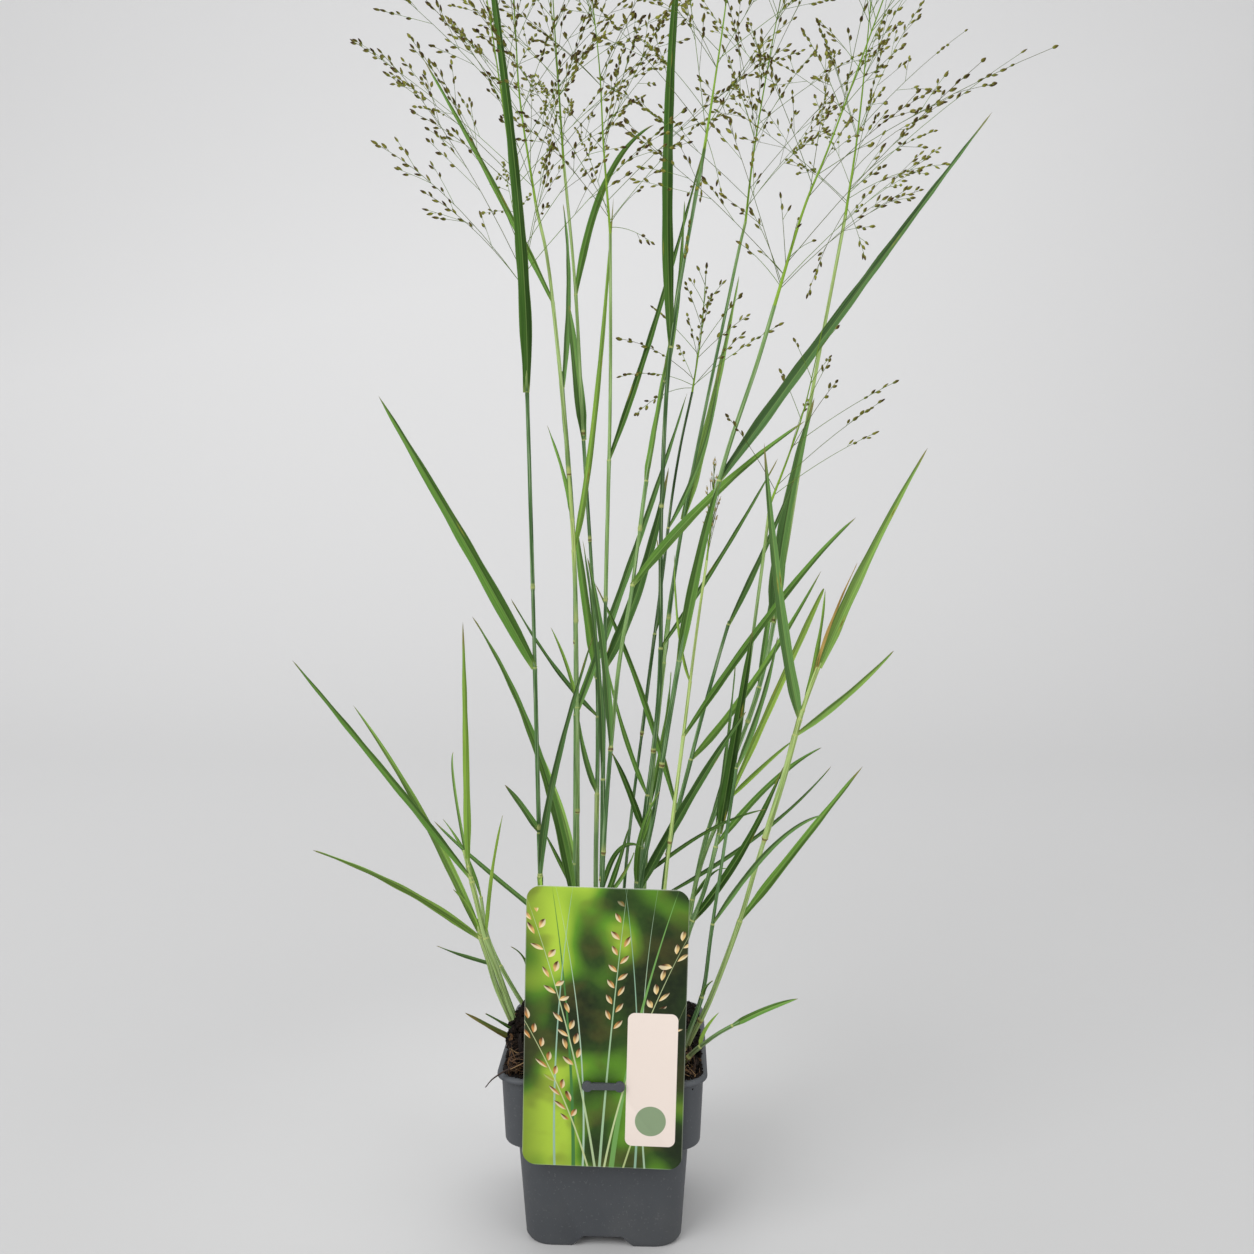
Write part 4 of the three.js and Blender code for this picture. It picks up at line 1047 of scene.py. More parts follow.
stems = [
    {"name": "outer_left_low", "radius": 1.15,
     "path": [(-36.5, -8, stemFoot), (-38, -8, 80), (-48, -10, 106), (-51.5, -12, 119.5), (-55, -13, 132),
              (-56, -13, 139)],
     "shades": [(66, 0.6), (139, 0.86)],
     "leaves": [
         leaf(80, (-49.5, 90), (-60, -26, 101.5), 2.8, "mid", 0.42),
         leaf(131, (-90, 155.5), (-125.5, -24, 172.5), 5.6, "light"),
         leaf(134, (-80, 191), (-105, -30, 237), 4.6, "light", slim=0.35),
         leaf(132, (-59.5, 145), (-65.5, -20, 154.5), 1.8, "light")]},
    {"name": "outer_left_tall", "radius": 1.15,
     "path": [(-33.5, -18, stemFoot), (-35, -18, 82), (-44.5, -20, 112), (-51.5, -20, 133), (-56, -20, 152.5),
              (-60.5, -20, 172)],
     "shades": [(66, 0.55), (110, 0.74), (172, 0.88)],
     "leaves": [
         leaf(90, (-45, 97.5), (-50, -34, 104.5), 1.8, "mid"),
         leaf(133, (-48, 163.5), (-42.5, -26, 189.5), 1.8, "light"),
         leaf(160, (-95, 211), (-128, -38, 257), 3.8, "mid"), leaf(165, (-58.5, 217), (-58, -30, 272.5), 3.2, "light"),
         leaf(158, (-64.5, 197.5), (-65.5, -14, 214), 1.4, "light")]},
    {"name": "outer_left_inner", "radius": 1,
     "path": [(-31, 4, stemFoot), (-32.5, 4, 82), (-43.5, 6, 101), (-50, 8, 112), (-55.5, 12, 123.5),
              (-58.5, 14, 140.5)],
     "shades": [(66, 0.58), (140, 0.75)],
     "leaves": [
         leaf(110, (-63, 115.5), (-76.5, -2, 122.5), 2, "mid"), leaf(92, (-35.5, 112), (-42.5, -6, 124), 1.6, "mid"),
         leaf(144, (-66.5, 160), (-77.5, 24, 174.5), 1.8, "mid")]},
    {"name": "left_tall", "radius": 1.1, "nodes": [178, 285],
     "path": [(-27, -4, stemFoot), (-29, -4, 150), (-31, -8, 285), (-33, -14, 408)],
     "shades": [(66, 0.42), (368, 0.32), (372, 0.8), (408, 0.85)],
     "leaves": [
         leaf(157, (-22, 203.5), (-4, -20, 266), 3.6, "dark"), leaf(156, (-28, 152), (-24, -20, 147), 2, "light"),
         leaf(176, (-37, 190), (-43, -16, 200), 3, "mid"), leaf(250, (-59, 304.5), (-93, -24, 366), 6, "mid"),
         leaf(368, (-35.5, 460), (-51, -40, 590), 5.8, "dark")],
     "spray": {"path": [(-36, -15, 445), (-43, -18, 500), (-52, -22, 560)], "seed": 11,
               "arches": [(0.02, (-93, -30, 467)), (0.06, (-90, -30, 503)), (0.12, (-78, -30, 509)),
                          (0.02, (-74, -28, 448))]}},
    {"name": "back_left", "radius": 1.05, "nodes": [334],
     "path": [(-14, 10, stemFoot), (-13.5, 12, 150), (-15, 18, 297), (-25, 26, 414), (-32.5, 30, 455)],
     "shades": [(66, 0.6), (290, 0.62), (296, 0.95), (332, 0.9), (336, 0.72), (455, 0.8)],
     "leaves": [
         leaf(130, (-30, 211), (-57, -12, 273), 5, "mid"), leaf(141, (-22, 160), (-28, 4, 174), 2, "mid"),
         leaf(120, (-54, 153.5), (-78.5, 8, 177.5), 2.4, "mid"), leaf(227, (14, 305), (36, 44, 372), 3.6, "mid"),
         leaf(229, (-18, 248), (-25, 10, 266), 1.8, "light"), leaf(300, (-6.5, 360), (1.5, 52, 462), 3, "light"),
         leaf(314, (-20, 333), (-29, 40, 357), 2.2, "mid"), leaf(411, (-54, 468), (-87, 52, 526), 3, "mid")],
     "spray": {"path": [(-39.5, 34, 500), (-42, 38, 536), (-46, 42, 590)], "reach": 105, "seed": 23}},
    {"name": "back_middle", "radius": 1, "nodes": [353],
     "path": [(-6, 24, stemFoot), (-6, 26, 150), (-5.5, 32, 240), (-12, 40, 350), (-16, 46, 420), (-21.5, 50, 478)],
     "shades": [(66, 0.5), (166, 0.5), (171, 0.95), (186, 0.85), (190, 0.42), (240, 0.35), (350, 0.4),
                (356, 0.6), (478, 0.8)],
     "leaves": [
         leaf(186, (-11, 205), (-13, 14, 222), 2.8, "mid"), leaf(222, (-25, 246), (-44, 20, 278), 2.4, "dark"),
         leaf(240, (-12.5, 285), (-16, 48, 309), 4.4, "mid"), leaf(350, (-16, 384.5), (-20, 60, 414.5), 5, "mid"),
         leaf(417, (-2, 470), (20, 66, 498), 3.6, "mid")],
     "spray": {"path": [(-24.5, 55, 520), (-26.5, 58, 550), (-29, 62, 600)], "reach": 105, "seed": 37}},
    {"name": "middle", "radius": 1.05, "nodes": [279],
     "path": [(-3, 0, stemFoot), (-2, 1, 150), (0, 2, 278), (2, 5, 366), (2, 8, 437)],
     "shades": [(66, 0.3), (277, 0.32), (281, 0.6), (437, 0.7)],
     "leaves": [
         leaf(199, (-3, 253), (-9, -14, 306), 2.8, "dark"), leaf(249, (16.5, 290.5), (27.5, -22, 337), 5.4, "dark"),
         leaf(340, (22, 402), (43, 30, 480), 3, "dark")],
     "extras": [leaf(146, (6, 169), (17.3, -22, 174.2), 2.6, "dark")],
     "spray": {"path": [(-1, 10, 475), (-3, 12, 510), (-9, 14, 562)], "seed": 41,
               "arches": [(0.03, (17.6, -6, 454.1)), (0.02, (21.9, -8, 428.8))]}},
    {"name": "middle_leaning", "radius": 1.05, "nodes": [215, 286, 310],
     "path": [(3, -12, stemFoot), (-1, -12, 150), (5, -9, 240), (12, -4, 286), (18, 2, 332), (25.5, 8, 376)],
     "shades": [(66, 0.3), (210, 0.35), (220, 0.6), (376, 0.55)],
     "leaves": [
         leaf(215, (0, 262), (-5, -44, 300), 3.4, "mid"), leaf(286, (46, 324.5), (83, -30, 355), 4.4, "mid"),
         leaf(331, (21.5, 354), (26, 0, 384), 3.2, "mid"), leaf(374, (31, 408), (34, 14, 452), 2.8, "mid")],
     "extras": [
         leaf(144, (6.5, 166), (10.7, -24, 183.1), 2.8, "dark"), leaf(147, (8, 160), (13.3, -26, 173.6), 2.2, "mid")]},
    {"name": "middle_right", "radius": 1.15, "nodes": [320],
     "path": [(11, 2, stemFoot), (14, 2, 150), (23.5, 0, 238), (24.5, 0, 320), (28.5, 0, 390), (42, -4, 469)],
     "shades": [(66, 0.4), (238, 0.3), (320, 0.2), (390, 0.25), (469, 0.5)],
     "leaves": [
         leaf(146, (39, 197), (60, -34, 236), 4.6, "dark"), leaf(152, (44.5, 179), (69, -38, 194), 1.8, "dark"),
         leaf(176, (10, 198.5), (4, -28, 217), 3, "dark"), leaf(192, (8, 218), (0, 22, 246), 2.4, "mid"),
         leaf(168, (20, 182), (24, -10, 196), 2.4, "mid"), leaf(258, (52, 300), (76, 18, 341), 2.2, "dark"),
         leaf(388, (27, 478), (33, -14, 560), 4.8, "dark")],
     "extras": [leaf(150, (16, 176), (24.3, -24, 199.7), 3, "mid")],
     "spray": {"path": [(46, -4, 495), (51, 0, 531), (57, 6, 585)], "seed": 53,
               "arches": [(0.03, (40.1, -12, 444.5)), (0.02, (33.6, -14, 421.1)), (0.04, (49.6, -2, 450.3))]}},
    {"name": "thin_arching", "radius": 0.85,
     "path": [(4, 18, stemFoot), (8, 19, 150), (17, 20, 227), (25, 22, 290), (28.8, 24, 322), (33, 26, 348),
              (38, 28, 371)],
     "shades": [(66, 0.4), (227, 0.25), (368, 0.1)],
     "leaves": [
         leaf(262, (24, 281.5), (22, 44, 304.5), 2.4, "mid"), leaf(310, (43.8, 347), (50.5, 60, 383), 2.4, "mid")],
     "spray": {"path": [(42, 29.5, 398), (44, 31, 425)], "reach": 44, "seed": 61, "bare": -0.2, "perWhorl": 1,
               "arches": [(0.1, (3.9, 0, 391.9)), (0.05, (4.5, 0, 375)), (0.03, (12, -4, 358))]}},
    {"name": "back_right", "radius": 1.05,
     "path": [(16, 30, stemFoot), (17, 32, 150), (26, 42, 250), (35, 48, 316), (57, 56, 425), (63, 60, 452)],
     "leaves": [
         leaf(180, (26, 216), (29, 60, 239.5), 3, "mid"),
         leaf(313, (48, 365), (61, 62, 430), 5.2, "light", chance=0.97),
         leaf(246, (28, 270), (31, 66, 294), 2.6, "mid")],
     "spray": {"path": [(67, 64, 486), (75, 70, 534), (85, 76, 585)], "seed": 71,
               "arches": [(0.03, (70.2, 56, 473.7)), (0.02, (59.4, 58, 455.2))]}},
    {"name": "front_right_thick", "radius": 1.25, "nodes": [319],
     "path": [(13, -14, stemFoot), (15.5, -14, 150), (22, -15, 190), (35, -18, 270), (49, -25, 333), (63, -28, 377),
              (70, -30, 401)],
     "shades": [(66, 0.35), (190, 0.3), (319, 0.5), (401, 0.6)],
     "leaves": [
         leaf(255, (40.5, 299), (48, -36, 330), 4.6, "mid"), leaf(331, (104.5, 407.5), (162, -6, 484), 5.4, "dark")],
     "spray": {"path": [(80.5, -34, 437), (90, -38, 461), (107, -44, 508), (120, -50, 545)], "reach": 110, "seed": 83,
               "arches": [(0.08, (61.7, -40, 421.1)), (0.14, (78.2, -46, 433.2)), (0.1, (70.5, -44, 443.1)),
                          (0.05, (53.5, -30, 426.9)), (0.06, (58.7, -34, 439.7)), (0.12, (85.3, -46, 423.7))]}},
    {"name": "thin_yellow", "radius": 0.85,
     "path": [(22, -20, stemFoot), (26, -20, 150), (34, -16, 220), (40, -10, 268), (44, -8, 297)],
     "shades": [(66, 0.85), (297, 0.95)],
     "leaves": [
         leaf(222, (75, 282), (103.5, -36, 316), 3.2, "mid"), leaf(245, (32, 268), (30, -22, 300), 1.4, "light")],
     "spray": {"path": [(46, -8, 316), (47, -8, 338)],
               "reach": 26, "spread": 0.25, "seed": 97, "size": 0.6, "pale": 0.8}},
    {"name": "right", "radius": 1.05, "nodes": [162],
     "path": [(23, 10, stemFoot), (26, 10, 150), (38, 12, 206), (48.5, 14, 246), (55, 16, 268.5)],
     "shades": [(66, 0.5), (162, 0.55), (268, 0.35)],
     "leaves": [
         leaf(143, (69, 173), (100, 2, 205.5), 2, "dark"), leaf(182, (14, 241), (-5, -6, 286), 2.8, "mid"),
         leaf(206, (67, 241.5), (97.5, 30, 290.5), 3.4, "mid"), leaf(267, (70, 300.5), (83.5, 12, 333), 3, "dark")]},
    {"name": "right_tall", "radius": 1.15, "nodes": [267],
     "path": [(30, 22, stemFoot), (43.5, 26, 158), (69.5, 32, 235), (80.5, 38, 290), (92.5, 43, 366), (108, 48, 452)],
     "shades": [(66, 0.5), (158, 0.5), (264, 0.55), (290, 0.75), (452, 0.85)],
     "leaves": [
         leaf(170, (56, 197), (63.5, 58, 224.5), 3, "mid"),
         leaf(266, (81.5, 315), (92.5, 24, 368), 7.2, "mid", chance=0.9),
         leaf(236, (76, 270), (85, 80, 313.5), 2.8, "mid")],
     "spray": {"path": [(113.5, 54, 488), (118, 60, 530), (122, 64, 580)], "seed": 101,
               "arches": [(0.06, (156, 46, 474)), (0.1, (152, 56, 492)), (0.16, (148, 62, 500)), (0.3, (143, 50, 548)),
                          (0.02, (89.7, 40, 413.2)), (0.03, (116.6, 40, 429.9))]}},
    {"name": "right_dark", "radius": 1,
     "path": [(28, -6, stemFoot), (35, -8, 124), (46, -10, 160), (58, -12, 222), (66, -14, 284), (70, -18, 321)],
     "leaves": [
         leaf(138, (60, 171), (77, -32, 210), 3.8, "dark"), leaf(172, (71.5, 201), (92.5, -24, 219), 2.8, "mid"),
         leaf(178, (56.5, 224), (62.5, -32, 270), 5.2, "dark")],
     "spray": {"path": [(78, -20, 343), (84, -22, 363), (90, -24, 392)],
               "reach": 56, "seed": 113, "bare": 0.08, "perWhorl": 0}},
    {"name": "far_right", "radius": 1.25,
     "path": [(34, -17, stemFoot), (36, -17, 82), (46, -19, 105), (58.5, -20, 140.5), (65.5, -22, 166.5),
              (76, -26, 204.5), (83, -28, 233), (90.5, -30, 256)],
     "shades": [(66, 0.62), (105, 0.74), (253, 0.9)],
     "leaves": [
         leaf(142, (86, 181.5), (107.5, -40, 214.5), 3.6, "mid"),
         leaf(225, (102, 243), (119.5, -38, 262), 3.2, "light"),
         leaf(232, (74, 278), (66, -36, 346), 4.8, "mid", chance=0.95),
         leaf(236, (90, 260.5), (94, -16, 285), 2.6, "light"),
         leaf(254, (110, 301), (132, -34, 344), 6, "light", slim=0.4)],
     "extras": [leaf(250, (93.5, 270), (104, -38, 298), 1.5, "mid", 1)]},
    {"name": "right_light", "radius": 0.95,
     "path": [(30, 4, stemFoot), (33, 3, 110), (42, 2, 158), (55, 0, 192)],
     "leaves": [
         leaf(144, (47, 157), (54, -8, 161), 2.2, "mid"), leaf(178, (54, 215), (58, 14, 250), 2.4, "mid"),
         leaf(189, (84, 260.5), (94, -10, 285), 3.2, "bright"), leaf(190, (70.5, 208), (81.5, -14, 220), 2, "light")]},
    {"name": "right_olive", "radius": 0.95,
     "path": [(31, -27, stemFoot), (35, -27, 88), (43, -26, 112), (47, -25, 142), (57, -24, 212)],
     "leaves": [
         leaf(110, (44, 116), (47, -36, 121), 1.8, "mid"), leaf(142, (71.5, 178.5), (91.5, -46, 195.5), 2.4, "mid"),
         leaf(210, (66, 238), (72, -42, 268), 2.6, "mid")]},
    {"name": "low_right", "radius": 1,
     "path": [(33, -33, stemFoot), (34, -33, 82), (46, -37, 96), (58, -40, 105)],
     "leaves": [
         leaf(103, (69, 111), (82, -44, 117), 2.8, "mid"), leaf(92, (44, 98), (50, -28, 104), 1.8, "light")]},
    {"name": "behind", "radius": 1.05,
     "path": [(-16, 32, stemFoot), (-16.5, 36, 150), (-17, 50, 240), (-18.5, 60, 310), (-24.5, 68, 384)],
     "leaves": [
         leaf(150, (-24.5, 174.5), (-39, 70, 203.5), 3, "light"), leaf(220, (-4.8, 254), (8.5, 92, 290), 3.6, "mid"),
         leaf(300, (-22, 345), (-27.5, 84, 388), 2.4, "mid"), leaf(376, (-22, 426), (-26, 102, 470), 3, "mid")]},
]

filled = {}  # points that grown pieces already fill, by cell


def cellOf(point):
    return tuple(int(v // clump["clearance"]) for v in point)


def fill(points, owner):
    for point in np.asarray(points).tolist():
        filled.setdefault(cellOf(point), []).append((point, owner))


def isClear(points, owner, apart=clump["clearance"]):
    for point in np.asarray(points).tolist():
        a, b, c = cellOf(point)
        for n in range(27):
            for other, otherOwner in filled.get((a + n % 3 - 1, b + n // 3 % 3 - 1, c + n // 9 - 1), ()):
                if otherOwner != owner and math.dist(other, point) < apart:
                    return False
    return True


def bladeLine(start, blade, swing=0):
    tip = np.array(blade["tip"], float) + (0, swing, 0)
    bend = np.array([blade["bend"][0], start[1] + (tip[1] - start[1]) * clump["bendDepth"], blade["bend"][1]])
    return arc(start, 2 * bend - (start + tip) / 2, tip)


def bladePoints(line, blade):  # the middle, and both edges where the blade is wide
    shares = np.linspace(0, 1, math.ceil(line.length / 3) + 1)
    middle = line.at(shares)
    across = bladeAcross(blade, line.heading(shares), shares)
    taper = np.minimum(1, 0.45 + 3.5 * shares) * np.sqrt(np.maximum(0, 1 - shares ** 2.6))
    half = (blade["width"] / 2 * taper)[:, None]
    wide = half[:, 0] > 1
    return np.concatenate([middle, (middle + across * half)[wide], (middle - across * half)[wide]])


def springsFrom(stem, blade):
    return stem["line"].at(stem["line"].atHeight(blade["at"]))


def growLines():  # the stems and sprays first, then each leaf where it is clear of them
    step = clump["pointStep"]
    for stem in stems:
        stem["line"] = spline(stem["path"])
        fill(stem["line"].spaced(step), stem["name"])
        if "spray" in stem:
            spray = stem["spray"] = usualSpray | stem["spray"]
            top, follow = np.array(stem["path"][-1], float), np.array(spray["path"][0], float)
            start = top + clump["gap"] * unit(follow - top)
            spray["owner"], spray["line"] = "spray_" + stem["name"], spline([start, *spray["path"]])
            points = spray["line"].spaced(step)
            fill(points[np.linalg.norm(points - start, axis=1) > 8], spray["owner"])
    random = seededRandom(7)
    for stem in stems:
        for blade in stem["leaves"]:
            start = springsFrom(stem, blade)
            blade["roll"], blade["twist"] = (random() - 0.5) * clump["roll"], (random() - 0.5) * clump["twist"]
            line = bladeLine(start, blade)
            for tries in range(1, 17):  # swings it forward and back by turns
                if isClear(bladePoints(line, blade), stem["name"]):
                    break
                line = bladeLine(start, blade, (1 if tries % 2 else -1) * math.ceil(tries / 2) * clump["swingStep"])
            blade["line"] = line
            fill(bladePoints(line, blade), stem["name"])
        for blade in stem.get("extras", []):
            blade["roll"], blade["twist"] = clump["extraTurn"]
            blade["line"] = bladeLine(springsFrom(stem, blade), blade)


culmShape = {  # heights, halves and reaches in millimetres, swellings as shares of the radius
    "thickness": 0.94, "thinning": 0.3, "crowding": 12, "crowdHalf": 2.4, "green": 0.42,
    "nodeSwell": 0.2, "nodeHalf": 1, "neckDepth": 0.07, "neckBelow": 2.2, "neckHalf": 1.1,
    "bandHalf": 0.8, "faintBand": 0.4, "brownShare": 0.55, "paleRing": 0.3, "ringAbove": 1.3, "ringHalf": 0.7,
    "sheath": 46, "longestSheath": 125, "lowestLeaf": 100, "lowestNode": 86, "lowestCollar": 84,
    "sheathSwell": 0.1, "mouthSwell": 0.16, "mouthReach": 2.5, "collar": 0.4, "collarHalf": 0.5,
}


def nodesOf(stem):  # heights of the joints that the sheaths spring from
    shape, heights = culmShape, list(stem.get("nodes", []))
    for blade in stem["leaves"]:
        served = any(4 < blade["at"] - height < shape["longestSheath"] for height in heights)
        if blade["at"] > shape["lowestLeaf"] and not served:
            heights.append(max(shape["lowestNode"], blade["at"] - shape["sheath"]))
    return sorted(heights)


def culmShares(line, marks):  # from ring to ring of the culm, crowded at its nodes and collars
    fine = np.linspace(0, 1, 2001)
    reached = line.reached(fine)
    crowd = 1 + sum(culmShape["crowding"] * hump(reached, mark, culmShape["crowdHalf"]) for mark in marks)
    total = np.cumsum(crowd) - crowd[0]
    return np.interp(np.linspace(0, 1, clump["culmRings"]), total / total[-1], fine)


def growCulm(stem, random):
    line, shape = stem["line"], culmShape
    leafHeights = [blade["at"] for blade in stem["leaves"] if blade["at"] > shape["lowestCollar"]]
    nodes, collars = (
        [line.reached(line.atHeight(height)) for height in heights] for heights in (nodesOf(stem), leafHeights))
    shares = culmShares(line, nodes + collars)
    along = line.reached(shares)
    swell, joint, sheathed = np.ones(len(shares)), np.zeros(len(shares)), np.zeros(len(shares))
    green = np.full(len(shares), shape["green"])
    for n, mark in enumerate(nodes):
        swell += shape["nodeSwell"] * hump(along, mark, shape["nodeHalf"])
        swell -= shape["neckDepth"] * hump(along, mark - shape["neckBelow"], shape["neckHalf"])
        brown = 1 if n < 1 or random() > 1 - shape["brownShare"] else shape["faintBand"]
        band = brown * hump(along, mark, shape["bandHalf"], 4)
        ring = shape["paleRing"] * hump(along, mark + shape["ringAbove"], shape["ringHalf"], 4)
        joint = np.maximum(joint, np.maximum(band, ring))
        green = np.where(along > mark, 0.34 + 0.3 * random(), green)
    for mark in collars:
        below = [node for node in nodes if node < mark - 4]
        inside = (along > (below[-1] if below else mark - 20)) & (along < mark)
        sheathed = np.where(inside, 1, sheathed)
        mouth = shape["mouthSwell"] * np.exp((along - mark) / shape["mouthReach"])
        swell += np.where(inside, shape["sheathSwell"] + mouth, 0)
        joint = np.maximum(joint, shape["collar"] * hump(along, mark, shape["collarHalf"], 4))
    radius = stem["radius"] * shape["thickness"] * (1 - shape["thinning"] * shares) * swell
    if "shades" in stem:
        heights, tones = zip(*stem["shades"])
        green = np.interp(line.at(shares)[:, 2], heights, tones)
    elif "spray" in stem:
        green = green + 0.4 * shares ** 4
    return layRod(culmBlank, line, shares, radius, tone=green, chance=random(), dry=joint, rim=sheathed)


def growStem(stem, random):
    parts = [growCulm(stem, random)]
    for blade in stem["leaves"] + stem.get("extras", []):
        tone, chance, age = random(), random(), random()
        parts.append(layBlade(leafBlank, blade["line"], blade) | {
            "tone": blade["tone"] + 0.1 * (tone - 0.5), "chance": blade.get("chance", chance),
            "dry": blade["dry"] + 0.25 * age ** 3, "finish": 1})
    return weave("leafy_stem_" + stem["name"], parts, [culmGreen, bladeGreen], 55)


def culmFinish():
    finish = Finish("glaucous culm", Specular_IOR_Level=0.12)
    fade, vector = finish.fade, finish.vector
    around, along, _ = finish.lay()
    tone, chance, joint, sheathed = finish.marks("tone", "chance", "dry", "rim")
    _, _, height = finish.parts(finish.place())
    streaks = finish.noise(vector(around * 2.6, along * 0.05, chance * 30), detail=3)
    cloud = finish.noise(vector(around * 0.3, along * 0.035, chance * 60))
    ribs = finish.noise(vector(around * 5.5, along * 0.01, chance * 9), detail=1)
    purple = finish.noise(vector(0, along * 0.02, chance * 80))
    patch = finish.noise(vector(around * 0.8, along * 0.4, chance * 20))
    body = finish.ramp(tone + (cloud - 0.5) * 0.3, (0.1, 48, 74, 38), (0.3, 72, 106, 60),
                       (0.45, 94, 132, 78), (0.65, 134, 166, 98), (1, 184, 204, 120))
    # pale streaks: partly the waxy bloom, partly painted highlight; the darker streaks below are partly painted shade
    body = finish.coat(body, (fade(streaks, 0.5, 0.32) * 0.42, 182, 198, 160))
    body = finish.scale(body, 1.06 + sheathed * (ribs - 0.5) * 0.8 - fade(streaks, 0.47, 0.62) * 0.5)
    body = finish.coat(
        body, (fade(cloud, 0.54, 0.74) * 0.24, 146, 168, 138), (fade(height, 0.102, 0.084) * 0.5, 104, 82, 58),
        (fade(purple, 0.66, 0.8) * 0.25, 104, 84, 66), (fade(joint, 0.1, 0.42) * 0.8, 176, 184, 112))
    brown = finish.ramp(patch, (0.35, 74, 54, 40), (0.55, 112, 92, 54), (0.7, 142, 134, 70))
    return finish.paint(
        Base_Color=finish.mix(fade(joint, 0.62, 0.9) * 0.85, body, brown), Roughness=0.5 + cloud * 0.2,
        Normal=finish.bump(ribs + streaks * 0.4, 0.00008, 0.7))


def bladeFinish():
    finish = Finish("grass blade", Specular_IOR_Level=0.08)
    fade, vector = finish.fade, finish.vector
    across, along, share = finish.lay()
    tone, chance, dry, rim = finish.marks("tone", "chance", "dry", "rim")
    veins = finish.noise(vector(across * 3.4, along * 0.012, chance * 40), roughness=0.7)
    bands = finish.noise(vector(across * 0.7, along * 0.02, chance * 70))
    cloud = finish.noise(vector(across * 0.15, along * 0.045, chance * 20), detail=3)
    spot = finish.cells(vector(across * 0.34, along * 0.03, chance * 50))
    rib, lit = fade(abs(across), 0.28, 0.08), fade(across * (chance - 0.5), -0.03, 0.03)
    dying = fade(share + (cloud - 0.5) * 0.16 + dry * 0.3, 0.93, 1.01)
    dead = fade(dry + (bands - 0.5) * 0.3, 0.55, 0.75)
    body = finish.ramp(
        tone + (bands - 0.5) * 0.4, (0, 46, 76, 26), (0.33, 84, 122, 52), (0.66, 124, 160, 66), (1, 170, 200, 70))
    body = finish.coat(body, (fade(chance, 0.5, 0.95) * 0.4, 94, 126, 84))
    body = finish.scale(body, 0.86 + lit * 0.56 - fade(veins, 0.42, 0.62) * 0.44)
    body = finish.coat(
        body, (fade(cloud, 0.52, 0.74) * 0.16, 112, 138, 88), (rib * 0.3, 140, 168, 96),
        (fade(rim, 0.84, 0.98) * 0.3, 124, 146, 88), (fade(along, 5, 0) * 0.5, 158, 176, 100),
        (dying * 0.8, 134, 122, 74), (fade(share, 0.985, 1) * 0.7, 86, 66, 44))
    straw = finish.ramp(cloud, (0.3, 128, 102, 52), (0.55, 172, 146, 82), (0.75, 202, 180, 116))
    body = finish.coat(
        finish.mix(dead, body, straw),
        (fade(spot, 0.16, 0.06) * 0.5, 164, 156, 62), (fade(spot, 0.07, 0.03) * 0.9, 92, 60, 36))
    return finish.paint(
        Base_Color=body, Roughness=0.48 + cloud * 0.2, Normal=finish.bump(veins + rib * 0.8, 0.00009, 0.8))


growLines()
culmGreen, bladeGreen = culmFinish(), bladeFinish()
culmBlank = rodBlank(clump["culmSides"], clump["culmRings"])
leafBlank = bladeBlank(clump["bladeColumns"], clump["bladeRows"])
stemChance = seededRandom(19)
for stem in stems:
    dress(growStem(stem, stemChance), "leafy_stem", "stem_" + stem["name"])
print("clump:", len(stems), "stems with", sum(len(stem["leaves"]) for stem in stems), "leaves")


# Seed sprays: the main branches of each whorl, then finer ones between, each with twigs and spikelets

sprayShape = {
    "spikelet": 3, "spikeletHalf": 0.64, "longest": 3.4, "rightmost": 158, "margin": 5.5,
    "whorls": [  # part of the axis, branches, length and lean
        (0.05, 3, 1, 0.86), (0.28, 3, 0.8, 0.8), (0.5, 2, 0.58, 0.72), (0.7, 2, 0.38, 0.62), (0.88, 1, 0.24, 0.5)],
    "whorlTurn": 2.4, "whorlStep": 0.03, "retryTurn": 0.3, "retries": 12, "droop": 0.07,
    "between": [0.04, 0.28, 0.5, 0.7, 0.88],
    "axisRadius": 0.6, "axisTip": 0.17, "branchRadius": 0.16, "twigRadius": 0.1, "stalkRadius": 0.09,
    "branchSides": 3, "branchRings": 8, "stalkRings": 3, "twigStep": 11, "seatStep": 3.1, "shortestTwig": 6,
    "profile": [(0.2, 0), (0.7, 0.12), (1, 0.34), (0.9, 0.58), (0.48, 0.82), (0.14, 0.97)], "profileSides": 6,
}
lowest, highest = (np.array(corner) / mm for corner in cadBox)


def inBox(point):
    margin = sprayShape["margin"]
    right = point[0] < sprayShape["rightmost"]
    return bool(right and (point > lowest + margin).all() and (point < highest - margin).all())


def branchRoot(spray, part):
    share = spray["line"].even(part)
    return spray["line"].at(share), spray["line"].heading(share)


def level(turn):
    return np.array([math.cos(turn), math.sin(turn), 0])


def mainBranches(spray):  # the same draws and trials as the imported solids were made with
    shape, random = sprayShape, seededRandom(spray["seed"])
    turn = random() * 2 * math.pi
    for at, count, reach, lean in shape["whorls"]:
        for n in range(count):
            turn += shape["whorlTurn"]
            root, axis = branchRoot(spray, at + shape["whorlStep"] * n)
            angle = lean * spray["spread"] * (0.85 + 0.3 * random())
            length = max(3 * shape["longest"], spray["reach"] * reach * (0.85 + 0.3 * random()))
            for tries in range(shape["retries"]):
                outward = level(turn + tries * shape["retryTurn"])
                heading = axis * math.cos(angle) + outward * math.sin(angle)
                middle, tip = root + heading * length / 2, root + heading * length - (0, 0, shape["droop"] * length)
                samples = np.concatenate([
                    a + (b - a) * np.linspace(0, 1, math.ceil(math.dist(a, b) / 2) + 1)[:, None]
                    for a, b in ((root, middle), (middle, tip))])
                if isClear(samples, spray["owner"]):
                    fill(samples, spray["owner"])
                    yield arc(root, 2 * middle - (root + tip) / 2, tip), length
                    break


